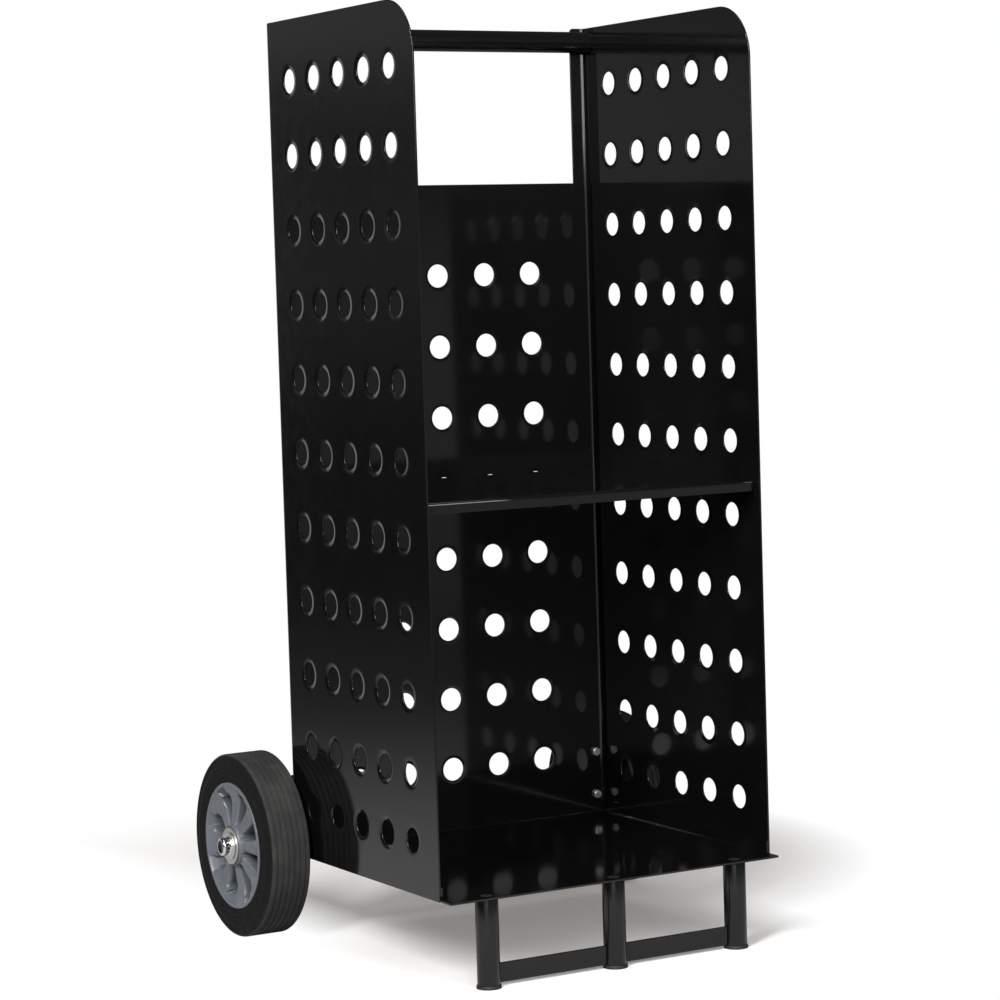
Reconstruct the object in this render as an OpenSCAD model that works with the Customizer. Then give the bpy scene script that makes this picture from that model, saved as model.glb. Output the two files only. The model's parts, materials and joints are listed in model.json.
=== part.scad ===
// Fireside log cart: a perforated sheet-steel body with two shelves on three
// front legs and two rear wheels.
// Axes: X across, Y from front to back, Z up. The floor is z = 0.

/* [Body] */
// Width over the two side panels
body_w = 406; // [360:1:450]
// Depth of a side panel, from its front edge to its rear bend
body_depth = 336; // [300:1:380]
// Height of a side panel
body_h = 911; // [860:1:980]
// Height of the panels' lower edges above the floor
ground_gap = 93; // [84:1:110]
// Thickness of the body's sheet steel
sheet_t = 2; // [1.5:0.1:3]
// Inside radius of the side panels' rear bend
bend_r = 3; // [2:0.5:4]
// Width of the rear flange, over the bend
flange_w = 20; // [18:1:26]
// Radius of the flange's top corner
flange_corner_r = 5; // [2:0.5:8]
// Radius of the side panels' top front corner
corner_r = 57; // [30:1:65]
// Radius of the smaller corners on shelves and panels
small_corner_r = 2; // [1:0.5:4]
// Gap between the back panel and each side panel
back_side_gap = 5; // [4:0.5:8]
// How far the back panel stops below the side panels' tops
back_drop = 177; // [140:1:220]

/* [Perforation] */
// Diameter of the punched holes
hole_d = 26; // [18:1:30]
// Spacing of the hole columns in a side panel
side_pitch = 57; // [50:1:64]
// Spacing of the hole rows
row_pitch = 80; // [70:1:90]
// Spacing from the last full row to the bottom row in a side panel
last_row_pitch = 69; // [60:1:80]
// First row below a side panel's top edge
side_top_margin = 66; // [50:1:80]
// Least distance from a side panel's edge to a hole's rim
side_edge_min = 20; // [16:1:28]
// Spacing of the hole columns in the back panel
back_pitch = 60; // [52:1:68]
// First row below the back panel's top edge
back_top_margin = 102; // [80:1:120]
// Least distance from the back panel's upright edge to a hole's centre
back_side_min = 72; // [66:1:90]
// Least distance from the back panel's lower edge to a hole's centre
back_bottom_min = 53; // [45:1:70]

/* [Shelves] */
// Top of the middle shelf above the floor
shelf_z = 497.5; // [440:0.5:540]
// Depth of the middle shelf's turned-down edges
shelf_lip = 12; // [8:1:18]
// Inside bend radius of the shelf and tray edges
shelf_bend_r = 1.5; // [1:0.5:3]
// How far the middle shelf sits behind the side panels' front edges
shelf_setback = 8; // [4:1:16]
// Height of the tray's turned-up edges
tray_lip = 15; // [10:1:20]
// How far the tray stands out in front of the side panels
tray_overhang = 20; // [14:1:28]

/* [Handle] */
// Outside diameter of the handle bar
handle_d = 24; // [20:1:28]
// Wall of the handle bar
handle_wall = 1.5; // [1.2:0.1:2.5]
// Handle axis below the side panels' top edges
handle_drop = 17; // [15:1:24]
// Diameter of the screws that hold the handle bar
handle_screw_d = 5; // [4:0.5:6]
// Head diameter of the handle screws
handle_screw_head_d = 9; // [8:0.5:10]
// Head height of the handle screws
handle_screw_head_h = 3; // [2:0.5:4]
// Length of the handle screws under their heads
handle_screw_len = 10; // [8:1:16]

/* [Legs] */
// Outside diameter of a leg
leg_d = 24; // [20:1:28]
// Wall of a leg
leg_wall = 1.5; // [1.2:0.1:2.5]
// Spacing of the three legs
leg_pitch = 152; // [130:1:165]
// Tray edge in front of the feet
foot_edge_gap = 0.8; // [0.5:0.1:4]
// Height of the cross bars
bar_h = 20; // [14:1:26]
// Thickness of the cross bars
bar_t = 4; // [3:0.5:6]
// Gap between the cross bars and the foot caps' height
bar_gap = 0.5; // [0:0.1:3]
// Height of a foot cap below its leg
foot_h = 3.5; // [3:0.5:6]
// How far a foot cap stands out round its leg
foot_flare = 1.2; // [0.6:0.1:2]
// Length of a foot cap's stem inside its leg
foot_stem = 15; // [10:1:25]
// Wall of a foot cap's stem
foot_wall = 2; // [1.5:0.1:3]
// Length of the threaded plug in a leg's top
plug_len = 18; // [14:1:24]
// Diameter of the leg screws
leg_screw_d = 6; // [5:0.5:8]
// Length of a leg screw below the tray
leg_screw_len = 14; // [10:1:20]
// Diameter of the leg screws' countersunk heads, flush with the tray
leg_screw_head_d = 13; // [12:0.5:16]
// Width across the flats of the leg screws' sockets
leg_socket_w = 4; // [3:0.5:5]
// Depth of the leg screws' sockets
leg_socket_depth = 2; // [1.5:0.1:2.5]

/* [Wheels] */
// Diameter over the tyre
wheel_d = 203; // [190:1:216]
// Width of the tread between its shoulders
tread_w = 42; // [38:1:46]
// How far the side walls stand out past the shoulders
side_bulge = 3; // [2:0.5:4]
// Radius of the tread's shoulders
shoulder_r = 3; // [2:0.5:4]
// Depth of the tread grooves
groove_depth = 1.2; // [0.8:0.1:2]
// Width of a tread groove
groove_w = 1.4; // [1:0.1:2]
// Number of tread grooves
groove_count = 6; // [3:1:7]
// Height of the side walls' flat part, above the hub's rim lip
wall_flat = 19; // [14:0.5:20]
// Number of moulded rings in a side wall
wall_ring_count = 3; // [1:1:4]
// Depth of the moulded rings
wall_ring_depth = 0.8; // [0.4:0.1:1.2]
// Gap between a side panel and the tread's inner shoulder
wheel_gap = 9; // [8:1:16]
// Diameter of the hub's rim lips
hub_lip_d = 140; // [132:1:146]
// Height of a rim lip above the tyre's seat
lip_h = 4; // [3:0.5:6]
// Width of a rim lip
lip_w = 3; // [2:0.5:4]
// How far the rim lips stand out past the tyre's side walls
lip_proud = 1; // [0:0.5:2]
// Thickness of the rim band under the tyre
rim_t = 5; // [4:0.5:7]
// Thickness of the hub's web
web_t = 8; // [6:1:12]
// Thickness over the spokes
spoke_t = 34; // [28:1:38]
// Number of spokes
spoke_count = 8; // [6:1:9]
// Width of a spoke at the boss
spoke_w_in = 10; // [7:1:13]
// Width of a spoke at the rim
spoke_w_out = 20; // [14:1:26]
// Diameter of the hub's boss
boss_d = 47; // [44:1:54]
// How far the boss stands out past the rim lip, on the outer side
boss_out = 1; // [0:0.5:4]
// How far the boss stands out past the rim lip, on the inner side
boss_in = 2; // [1:0.5:2]

/* [Bearings and axle] */
// Diameter of the axle
axle_d = 16; // [14:0.5:18]
// Axle centre behind the side panels' rear faces
axle_setback = 43; // [36:1:55]
// Outside diameter of a bearing
bearing_d = 35; // [33:1:38]
// Width of a bearing
bearing_w = 11; // [9:1:13]
// Diameter of a bearing's flange
bearing_flange_d = 41; // [39:0.5:43]
// Thickness of a bearing's flange
bearing_flange_t = 1.5; // [1:0.1:2]
// Diameter of a bearing ball
ball_d = 5; // [4.5:0.1:5.4]
// Number of balls in a bearing
ball_count = 9; // [6:1:10]
// Thickness of a bearing's outer race
race_t = 2.9; // [2.5:0.1:3.2]
// Thickness of a bearing's inner race
inner_race_t = 2.7; // [2.2:0.1:3]
// Thickness of a bearing shield
shield_t = 0.8; // [0.5:0.1:1.2]
// How far a shield lies inside its bearing's end
shield_inset = 0.3; // [0.1:0.1:0.6]
// Gap between a shield and the inner race
shield_gap = 0.4; // [0.2:0.1:0.8]
// Gap between the hub's bore and the spacer sleeve
sleeve_gap = 1; // [0.5:0.1:2]
// Diameter of the washers
washer_d = 30; // [26:1:34]
// Thickness of the outer washer
washer_t = 1.5; // [1:0.1:2.5]
// Diameter of a retaining cap
cap_d = 22; // [20.5:0.5:26]
// Wall of a retaining cap past the axle's end
cap_wall = 1.2; // [0.8:0.1:1.6]
// Height of a retaining cap's dome
cap_dome_h = 4.5; // [3:0.5:6]
// How far the axle's end reaches into a cap
cap_grip = 5; // [4:0.5:7]

/* [Axle brackets] */
// Thickness of the bracket plate
bracket_t = 3; // [2.5:0.5:5]
// Width of a bracket's mounting plate
bracket_w = 36; // [30:1:48]
// From the upper bolt to the bracket's top edge
bracket_edge = 14; // [10:1:24]
// Radius of the bracket's ear round the axle
ear_r = 18; // [15:1:22]
// Diameter of the bracket bolts
bolt_d = 6; // [5:0.5:7]
// Spacing of the two bolts in a bracket
bolt_pitch = 50; // [40:1:58]
// Width across the flats of a bolt head or nut
bolt_flats = 10; // [9:0.5:11]
// Height of a bolt head
bolt_head_h = 4; // [3:0.5:5]
// Height of a nut
nut_h = 5; // [4:0.5:6]
// How far a bolt stands out past its nut
bolt_tail = 2; // [1:0.5:4]
// Gap between the tray's rear edge and the lower bolt heads
bolt_tray_gap = 2; // [1:0.5:4]

/* [Fits] */
// Radial clearance of a bearing on the axle
running_clear = 0.05; // [0.02:0.01:0.08]
// Radial clearance of pieces that don't turn on each other
fit_clear = 0.05; // [0.02:0.01:0.1]
// Radial clearance of a screw or bolt in a plain hole
screw_clear = 0.25; // [0.1:0.05:0.4]
// Gap between a wheel and the washers beside it
end_play = 0.4; // [0.3:0.1:0.8]

/* [Hidden] */
$fn = 96;
SMALL_FN = 48;
// Top diameter of a screw head as a share of its diameter at the sheet
HEAD_TAPER = 0.7;

// Places across the cart
panel_out_x = body_w / 2;
panel_in_x = panel_out_x - sheet_t;
flange_in_x = panel_out_x - flange_w;
bend_out_r = bend_r + sheet_t;
shelf_bend_out_r = shelf_bend_r + sheet_t;
shelf_flat_x = panel_in_x - shelf_bend_out_r;
back_half_w = panel_in_x - back_side_gap;

// Places from front to back; the box round the whole cart is centred on y = 0
wheel_r = wheel_d / 2;
total_depth = tray_overhang + body_depth + axle_setback + wheel_r;
tray_front_y = -total_depth / 2;
panel_front_y = tray_front_y + tray_overhang;
panel_rear_y = panel_front_y + body_depth;
flat_rear_y = panel_rear_y - bend_out_r;
flange_front_y = panel_rear_y - sheet_t;
back_front_y = flange_front_y - sheet_t;
axle_y = panel_rear_y + axle_setback;
shelf_front_y = panel_front_y + shelf_setback;
foot_r = leg_d / 2 + foot_flare;
leg_y = tray_front_y + foot_edge_gap + foot_r;

// Heights
panel_top_z = ground_gap + body_h;
back_top_z = panel_top_z - back_drop;
handle_z = panel_top_z - handle_drop;
handle_y = flange_front_y - handle_d / 2;
tray_top_z = ground_gap + sheet_t;
axle_z = wheel_r;
bar_z = foot_h + bar_gap;

// Hole rows and columns
side_reach = side_edge_min + hole_d / 2;
side_cols = floor((body_depth - 2 * side_reach) / side_pitch) + 1;
side_rows = floor((body_h - side_top_margin - last_row_pitch - side_reach) / row_pitch) + 1;
side_mid_y = (panel_front_y + panel_rear_y) / 2;
side_full_z = [for (r = [0 : side_rows - 1]) panel_top_z - side_top_margin - r * row_pitch];
side_hole_z = concat(side_full_z, [side_full_z[side_rows - 1] - last_row_pitch]);
side_hole_y = [for (c = [0 : side_cols - 1]) side_mid_y + (c - (side_cols - 1) / 2) * side_pitch];
back_h = back_top_z - ground_gap;
back_cols = floor(2 * (back_half_w - back_side_min) / back_pitch) + 1;
back_rows = floor((back_h - back_top_margin - back_bottom_min) / row_pitch) + 1;
back_hole_x = [for (c = [0 : back_cols - 1]) (c - (back_cols - 1) / 2) * back_pitch];
back_hole_z = [for (r = [0 : back_rows - 1]) back_top_z - back_top_margin - r * row_pitch];

// Wheel, measured along the axle from the middle of the tread
wheel_x = panel_out_x + wheel_gap + tread_w / 2;
wall_w = tread_w / 2 + side_bulge;
lip_out_w = wall_w + lip_proud;
boss_out_w = lip_out_w + boss_out;
boss_in_w = -(lip_out_w + boss_in);
hub_lip_r = hub_lip_d / 2;
seat_half_w = lip_out_w - lip_w;
wall_flat_r = hub_lip_r + wall_flat;
seat_r = hub_lip_r - lip_h;
rim_in_r = seat_r - rim_t;
boss_r = boss_d / 2;
bearing_r = bearing_d / 2;
axle_r = axle_d / 2;
race_bore_r = axle_r + running_clear;
inner_race_r = race_bore_r + inner_race_t;
outer_race_in_r = bearing_r - race_t;
ball_path_r = (inner_race_r + outer_race_in_r) / 2;
hub_bore_r = inner_race_r + sleeve_gap;

// Axle stations from the middle of the cart
flange_in_face_x = wheel_x + boss_in_w - bearing_flange_t;
flange_out_face_x = wheel_x + boss_out_w + bearing_flange_t;
ear_out_x = panel_in_x;
in_washer_out_x = flange_in_face_x - end_play;
out_washer_x = flange_out_face_x + end_play;
cap_x = out_washer_x + washer_t;
axle_half = cap_x + cap_grip;

// Bracket bolts
hex_r = bolt_flats / 2 / cos(30);
bolt_x = (flange_in_x + back_half_w) / 2;
low_bolt_z = ground_gap + tray_lip + bolt_tray_gap + hex_r;
bolt_zs = [low_bolt_z, low_bolt_z + bolt_pitch];
bracket_top_z = low_bolt_z + bolt_pitch + bracket_edge;
plate_rear_y = panel_rear_y + bracket_t;

// Handle screws
handle_screw_x = flange_in_x + handle_screw_head_d / 2;

leg_x = [-leg_pitch, 0, leg_pitch];
leg_in_r = leg_d / 2 - leg_wall;
// A right-angled countersink
leg_head_h = (leg_screw_head_d - leg_screw_d) / 2;

// ---- Helpers ----

// Stands a flat shape up in the Y-Z plane and gives it a thickness along +X.
module upright(thickness) {
    rotate([90, 0, 90]) linear_extrude(thickness) children();
}

// Stands a flat shape up in the X-Z plane and gives it a thickness along -Y.
module facing(thickness) {
    rotate([90, 0, 0]) linear_extrude(thickness) children();
}

// The waste outside a round corner of radius r, reaching 1 past both edges. The corner is at `at`,
// and the sheet lies in the direction of the two signs in `dir`.
module corner_cut(at, dir, r) {
    translate(at) difference() {
        translate([dir[0] < 0 ? -r : -1, dir[1] < 0 ? -r : -1]) square(r + 1);
        translate([dir[0] * r, dir[1] * r]) circle(r);
    }
}

// A rectangle on the origin's axes with its far lower corner rounded.
module round_end(len, h, r) {
    difference() {
        square([len, h]);
        corner_cut([len, 0], [-1, 1], r, $fn = SMALL_FN);
    }
}

// The section of a sheet that runs along x from 0 to len and then turns up to height h.
module bent_section(len, h, inner_r) {
    difference() {
        round_end(len, h, inner_r + sheet_t);
        translate([-1, sheet_t]) round_end(len + 1 - sheet_t, h, inner_r);
    }
}

// A round bar or hole along X, centred on the origin's axis.
module along_x(r, x0, x1) {
    translate([x0, 0, 0]) rotate([0, 90, 0]) cylinder(r = r, h = x1 - x0);
}

// A ring along X between two stations.
module ring_x(r_out, r_in, x0, x1) {
    difference() {
        along_x(r_out, x0, x1);
        along_x(r_in, x0 - 1, x1 + 1);
    }
}

// Turns a flat profile about the X axis: its x is the radius and its y the place along X.
module turned_x() {
    rotate([90, 0, 90]) rotate_extrude() children();
}

// Puts wheel pieces on the left or the right end of the axle.
module on_left() {
    mirror([1, 0, 0]) on_right() children();
}

module on_right() {
    translate([wheel_x, axle_y, axle_z]) children();
}

module at_axle() {
    translate([0, axle_y, axle_z]) children();
}

// ---- Body ----

// Right side panel: one bent sheet, its plate cut to a round front corner and punched, and its rear
// flange drilled.
module side_panel() {
    color("#1c1c1e") difference() {
        translate([panel_out_x, panel_front_y, ground_gap])
            linear_extrude(body_h) rotate(90) bent_section(body_depth, flange_w, bend_r);
        translate([panel_in_x - 1, 0, 0]) upright(sheet_t + 2) {
            corner_cut([panel_front_y, panel_top_z], [1, -1], corner_r);
            corner_cut([panel_front_y, ground_gap], [1, 1], small_corner_r);
            for (y = side_hole_y, z = side_hole_z)
                translate([y, z]) circle(d = hole_d);
        }
        translate([0, panel_rear_y + 1, 0]) facing(sheet_t + 2) {
            corner_cut([flange_in_x, panel_top_z], [1, -1], flange_corner_r);
            for (z = bolt_zs) translate([bolt_x, z]) circle(bolt_d / 2 + screw_clear, $fn = SMALL_FN);
            translate([handle_screw_x, handle_z])
                circle(handle_screw_d / 2 + screw_clear, $fn = SMALL_FN);
        }
    }
}

module left_side_panel() { mirror([1, 0, 0]) side_panel(); }
module right_side_panel() { side_panel(); }

// Back panel, in front of the side panels' flanges.
module back_panel() {
    color("#161617") translate([0, flange_front_y, 0]) facing(sheet_t) difference() {
        translate([-back_half_w, ground_gap]) square([2 * back_half_w, back_h]);
        for (s = [-1, 1])
            corner_cut([s * back_half_w, back_top_z], [-s, -1], small_corner_r);
        for (x = back_hole_x, z = back_hole_z) translate([x, z]) circle(d = hole_d);
        for (s = [-1, 1], z = bolt_zs)
            translate([s * bolt_x, z]) circle(bolt_d / 2 + screw_clear, $fn = SMALL_FN);
    }
}

// Middle shelf: a plate with its front and side edges turned down.
module middle_shelf() {
    side_len = flat_rear_y - shelf_front_y - shelf_bend_out_r;
    color("#1a1a1b") translate([0, 0, shelf_z]) mirror([0, 0, 1]) union() {
        translate([-shelf_flat_x, back_front_y, 0]) upright(2 * shelf_flat_x) mirror([1, 0])
            bent_section(back_front_y - shelf_front_y, shelf_lip, shelf_bend_r);
        for (s = [0, 1]) mirror([s, 0, 0]) translate([0, flat_rear_y, 0]) facing(side_len)
            bent_section(panel_in_x, shelf_lip, shelf_bend_r);
    }
}

// Floor tray: a plate that closes the bottom, with its side and rear edges turned up. Its front part,
// with the round corners, stands out flat in front of the side panels.
module floor_tray() {
    side_len = back_front_y - shelf_bend_out_r - panel_front_y;
    color("#1a1a1b") difference() {
        translate([0, 0, ground_gap]) union() {
            linear_extrude(sheet_t) difference() {
                translate([-panel_in_x, tray_front_y]) square([2 * panel_in_x, tray_overhang]);
                for (s = [-1, 1])
                    corner_cut([s * panel_in_x, tray_front_y], [-s, 1], small_corner_r);
            }
            translate([-shelf_flat_x, tray_front_y, 0]) upright(2 * shelf_flat_x)
                bent_section(back_front_y - tray_front_y, tray_lip, shelf_bend_r);
            for (s = [0, 1]) mirror([s, 0, 0]) translate([0, panel_front_y + side_len, 0])
                facing(side_len) bent_section(panel_in_x, tray_lip, shelf_bend_r);
        }
        for (x = leg_x) leg_screw_cone(x, fit_clear);
    }
}

// ---- Handle ----

// Handle bar: a tube between the side panels, its ends cut to the inside of their rear bends.
module handle_bar() {
    color("#202022") difference() {
        translate([0, handle_y, handle_z]) ring_x(handle_d / 2, handle_d / 2 - handle_wall,
                                                  -panel_in_x, panel_in_x);
        for (s = [-1, 1]) translate([s * handle_screw_x, handle_y, handle_z])
            rotate([-90, 0, 0]) cylinder(r = handle_screw_d / 2 + fit_clear, h = handle_d, $fn = SMALL_FN);
        for (s = [-1, 1]) translate([0, 0, handle_z - handle_d]) linear_extrude(2 * handle_d)
            corner_cut([s * panel_in_x, flange_front_y], [-s, -1], bend_r);
    }
}

// Two pan-head screws through the rear flanges into the handle bar.
module handle_screws() {
    color("#8b8c90") for (s = [-1, 1]) translate([s * handle_screw_x, panel_rear_y, handle_z])
        rotate([90, 0, 0]) {
            cylinder(d = handle_screw_d, h = handle_screw_len, $fn = SMALL_FN);
            translate([0, 0, -handle_screw_head_h])
                cylinder(d1 = handle_screw_head_d * HEAD_TAPER, d2 = handle_screw_head_d,
                         h = handle_screw_head_h, $fn = SMALL_FN);
        }
}

// ---- Front stand ----

module leg(x) {
    color("#202022") translate([x, leg_y, foot_h]) difference() {
        cylinder(d = leg_d, h = ground_gap - foot_h);
        translate([0, 0, -1]) cylinder(r = leg_in_r, h = ground_gap - foot_h + 2);
    }
}

module leg_left() { leg(leg_x[0]); }
module leg_centre() { leg(leg_x[1]); }
module leg_right() { leg(leg_x[2]); }

// The cone of a leg screw's head, or with a clearance its countersink, which reaches 1 above the tray.
module leg_screw_cone(x, clear) {
    above = clear > 0 ? 1 : 0;
    bottom_r = leg_screw_d / 2 + clear;
    translate([x, leg_y, tray_top_z - leg_head_h])
        cylinder(r1 = bottom_r, r2 = bottom_r + leg_head_h + above, h = leg_head_h + above, $fn = SMALL_FN);
}

// Threaded plugs in the tops of the legs, countersunk for the screws.
module leg_plugs() {
    color("#77797d") for (x = leg_x) difference() {
        translate([x, leg_y, ground_gap - plug_len]) cylinder(r = leg_in_r - fit_clear, h = plug_len);
        translate([x, leg_y, ground_gap - plug_len - 1])
            cylinder(r = leg_screw_d / 2 + fit_clear, h = plug_len + 2, $fn = SMALL_FN);
        leg_screw_cone(x, fit_clear);
    }
}

// Countersunk screws that hold the legs, flush with the tray.
module leg_screws() {
    color("#2a2a2c") for (x = leg_x) difference() {
        union() {
            leg_screw_cone(x, 0);
            translate([x, leg_y, ground_gap - leg_screw_len])
                cylinder(d = leg_screw_d, h = leg_screw_len, $fn = SMALL_FN);
        }
        translate([x, leg_y, tray_top_z - leg_socket_depth])
            cylinder(d = leg_socket_w / cos(30), h = leg_socket_depth + 1, $fn = 6);
    }
}

// A foot cap: a flared base under the leg and a hollow stem inside it.
module foot_cap(x) {
    stem_r = leg_in_r - fit_clear;
    color("#141414") translate([x, leg_y, 0]) difference() {
        union() {
            cylinder(r1 = foot_r, r2 = foot_r - foot_flare / 2, h = foot_h, $fn = SMALL_FN);
            cylinder(r = stem_r, h = foot_h + foot_stem);
        }
        translate([0, 0, foot_h]) cylinder(r = stem_r - foot_wall, h = foot_stem + 1);
    }
}

module foot_cap_left() { foot_cap(leg_x[0]); }
module foot_cap_centre() { foot_cap(leg_x[1]); }
module foot_cap_right() { foot_cap(leg_x[2]); }

// A flat bar between two neighbouring legs, with its ends cut to the tubes.
module cross_bar(x0, x1) {
    color("#202022") difference() {
        translate([x0, leg_y - bar_t / 2, bar_z]) cube([x1 - x0, bar_t, bar_h]);
        for (x = [x0, x1]) translate([x, leg_y, bar_z - 1]) cylinder(d = leg_d, h = bar_h + 2);
    }
}

module cross_bar_left() { cross_bar(leg_x[0], leg_x[1]); }
module cross_bar_right() { cross_bar(leg_x[1], leg_x[2]); }

// ---- Axle and its brackets ----

module axle() {
    color("#9a9da2") at_axle() along_x(axle_r, -axle_half, axle_half);
}

// Right bracket: a plate behind the flange and an ear that carries the axle.
module axle_bracket() {
    color("#202022") difference() {
        union() {
            translate([ear_out_x - bracket_w, panel_rear_y, ground_gap])
                cube([bracket_w, bracket_t, bracket_top_z - ground_gap]);
            translate([ear_out_x - bracket_t, 0, 0]) upright(bracket_t) union() {
                translate([axle_y, axle_z]) circle(ear_r);
                polygon([[panel_rear_y, ground_gap], [axle_y, axle_z - ear_r],
                         [axle_y, axle_z + ear_r], [plate_rear_y, bracket_top_z],
                         [panel_rear_y, bracket_top_z]]);
            }
        }
        at_axle() along_x(axle_r + fit_clear, ear_out_x - bracket_t - 1, ear_out_x + 1);
        for (z = bolt_zs) translate([bolt_x, plate_rear_y + 1, z]) rotate([90, 0, 0])
            cylinder(r = bolt_d / 2 + screw_clear, h = bracket_t + 2, $fn = SMALL_FN);
    }
}

module axle_bracket_left() { mirror([1, 0, 0]) axle_bracket(); }
module axle_bracket_right() { axle_bracket(); }

// Hexagon bolts through the back panel, the flange and the bracket.
module bracket_bolts() {
    color("#8b8c90") for (s = [-1, 1], z = bolt_zs) translate([s * bolt_x, back_front_y, z])
        rotate([-90, 0, 0]) {
            translate([0, 0, -bolt_head_h]) cylinder(r = hex_r, h = bolt_head_h, $fn = 6);
            cylinder(d = bolt_d, h = plate_rear_y - back_front_y + nut_h + bolt_tail, $fn = SMALL_FN);
        }
}

module bracket_nuts() {
    color("#8b8c90") for (s = [-1, 1], z = bolt_zs) translate([s * bolt_x, plate_rear_y, z])
        rotate([-90, 0, 0]) difference() {
            cylinder(r = hex_r, h = nut_h, $fn = 6);
            translate([0, 0, -1]) cylinder(r = bolt_d / 2 + fit_clear, h = nut_h + 2, $fn = SMALL_FN);
        }
}

// ---- Wheel, drawn for the right side with its outer face towards +X ----

// The tyre's section: the beads under the rim lips, the side walls, the tread and its round shoulders.
module tyre_section() {
    half_w = tread_w / 2;
    side = [[seat_r, seat_half_w], [hub_lip_r, seat_half_w], [hub_lip_r, wall_w],
            [wall_flat_r, wall_w], [wheel_r - shoulder_r, half_w], [wheel_r, half_w]];
    other_side = [for (i = [len(side) - 1 : -1 : 0]) [side[i][0], -side[i][1]]];
    difference() {
        polygon(concat(side, other_side));
        for (s = [-1, 1])
            corner_cut([wheel_r, s * half_w], [-1, -s], shoulder_r, $fn = SMALL_FN);
    }
}

// Tyre: a grooved tread and side walls with moulded rings.
module tyre() {
    groove_pitch = (tread_w - 2 * shoulder_r) / groove_count;
    ring_pitch = (wall_flat_r - hub_lip_r) / wall_ring_count;
    color("#1b1b1c") difference() {
        turned_x() tyre_section();
        for (i = [0 : groove_count - 1]) {
            x = (i - (groove_count - 1) / 2) * groove_pitch;
            ring_x(wheel_r + 1, wheel_r - groove_depth, x - groove_w / 2, x + groove_w / 2);
        }
        for (s = [0, 1], i = [1 : wall_ring_count]) mirror([s, 0, 0]) {
            r = hub_lip_r + i * ring_pitch;
            ring_x(r, r - groove_w, wall_w - wall_ring_depth, wall_w + 1);
        }
    }
}

// Hub: the rim with its lips, the web, the tapered spokes and the bearing boss.
module hub() {
    spoke_in_r = boss_r - rim_t / 2;
    spoke_out_r = rim_in_r + rim_t / 2;
    color("#5d6570") difference() {
        union() {
            turned_x() {
                translate([rim_in_r, -lip_out_w]) square([rim_t, 2 * lip_out_w]);
                for (s = [0, 1]) mirror([0, s])
                    translate([rim_in_r, seat_half_w]) square([rim_t + lip_h, lip_w]);
            }
            ring_x(spoke_out_r, hub_bore_r, -web_t / 2, web_t / 2);
            ring_x(boss_r, hub_bore_r, boss_in_w, boss_out_w);
            for (i = [0 : spoke_count - 1]) rotate([i * 360 / spoke_count, 0, 0])
                translate([-spoke_t / 2, 0, 0]) upright(spoke_t)
                    polygon([[-spoke_w_in / 2, spoke_in_r], [spoke_w_in / 2, spoke_in_r],
                             [spoke_w_out / 2, spoke_out_r], [-spoke_w_out / 2, spoke_out_r]]);
        }
        along_x(bearing_r, boss_out_w - bearing_w + bearing_flange_t, boss_out_w + 1);
        along_x(bearing_r, boss_in_w - 1, boss_in_w + bearing_w - bearing_flange_t);
    }
}

// Puts a bearing piece, drawn with its flange face at 0 and its body towards -X, in both ends.
module both_bearings() {
    translate([boss_out_w + bearing_flange_t, 0, 0]) children();
    translate([boss_in_w - bearing_flange_t, 0, 0]) mirror([1, 0, 0]) children();
}

// The path that the balls roll in, as a solid ring.
module ball_track() {
    turned_x() translate([ball_path_r, -bearing_w / 2])
        circle(ball_d / 2 + fit_clear, $fn = SMALL_FN);
}

module bearing_outer_races() {
    color("#c9c6bb") both_bearings() difference() {
        union() {
            along_x(bearing_r, -bearing_w, 0);
            along_x(bearing_flange_d / 2, -bearing_flange_t, 0);
        }
        along_x(outer_race_in_r, -bearing_w - 1, 1);
        ball_track();
    }
}

module bearing_inner_races() {
    color("#b9bbbe") both_bearings() difference() {
        ring_x(inner_race_r, race_bore_r, -bearing_w, 0);
        ball_track();
    }
}

module bearing_balls() {
    color("#d5d7da") both_bearings() for (i = [0 : ball_count - 1])
        rotate([i * 360 / ball_count, 0, 0]) translate([-bearing_w / 2, 0, ball_path_r])
            sphere(d = ball_d, $fn = SMALL_FN);
}

// Shields that close the bearings' outer faces.
module bearing_shields() {
    color("#d8d4c6") both_bearings()
        ring_x(outer_race_in_r, inner_race_r + shield_gap, -shield_t - shield_inset, -shield_inset);
}

// Sleeve that keeps the two inner races apart inside the hub.
module bearing_sleeve() {
    color("#77797d") ring_x(inner_race_r, race_bore_r, boss_in_w - bearing_flange_t + bearing_w,
                            boss_out_w + bearing_flange_t - bearing_w);
}

// ---- Washers and caps, fixed on the axle ----

module inner_washer() {
    color("#8b8c90") at_axle() ring_x(washer_d / 2, axle_r + fit_clear, ear_out_x, in_washer_out_x);
}

module outer_washer() {
    color("#b9bbbe") at_axle()
        ring_x(washer_d / 2, axle_r + fit_clear, out_washer_x, out_washer_x + washer_t);
}

// Domed cap pushed on the axle's end.
module retaining_cap() {
    cap_r = cap_d / 2;
    cap_len = cap_grip + cap_wall + cap_dome_h;
    dome_r = (cap_r * cap_r + cap_dome_h * cap_dome_h) / (2 * cap_dome_h);
    color("#cfd2d6") at_axle() difference() {
        turned_x() intersection() {
            translate([0, cap_x]) square([cap_r, cap_len]);
            translate([0, cap_x + cap_len - dome_r]) circle(dome_r);
        }
        along_x(axle_r + fit_clear, cap_x - 1, axle_half + fit_clear);
    }
}

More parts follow.
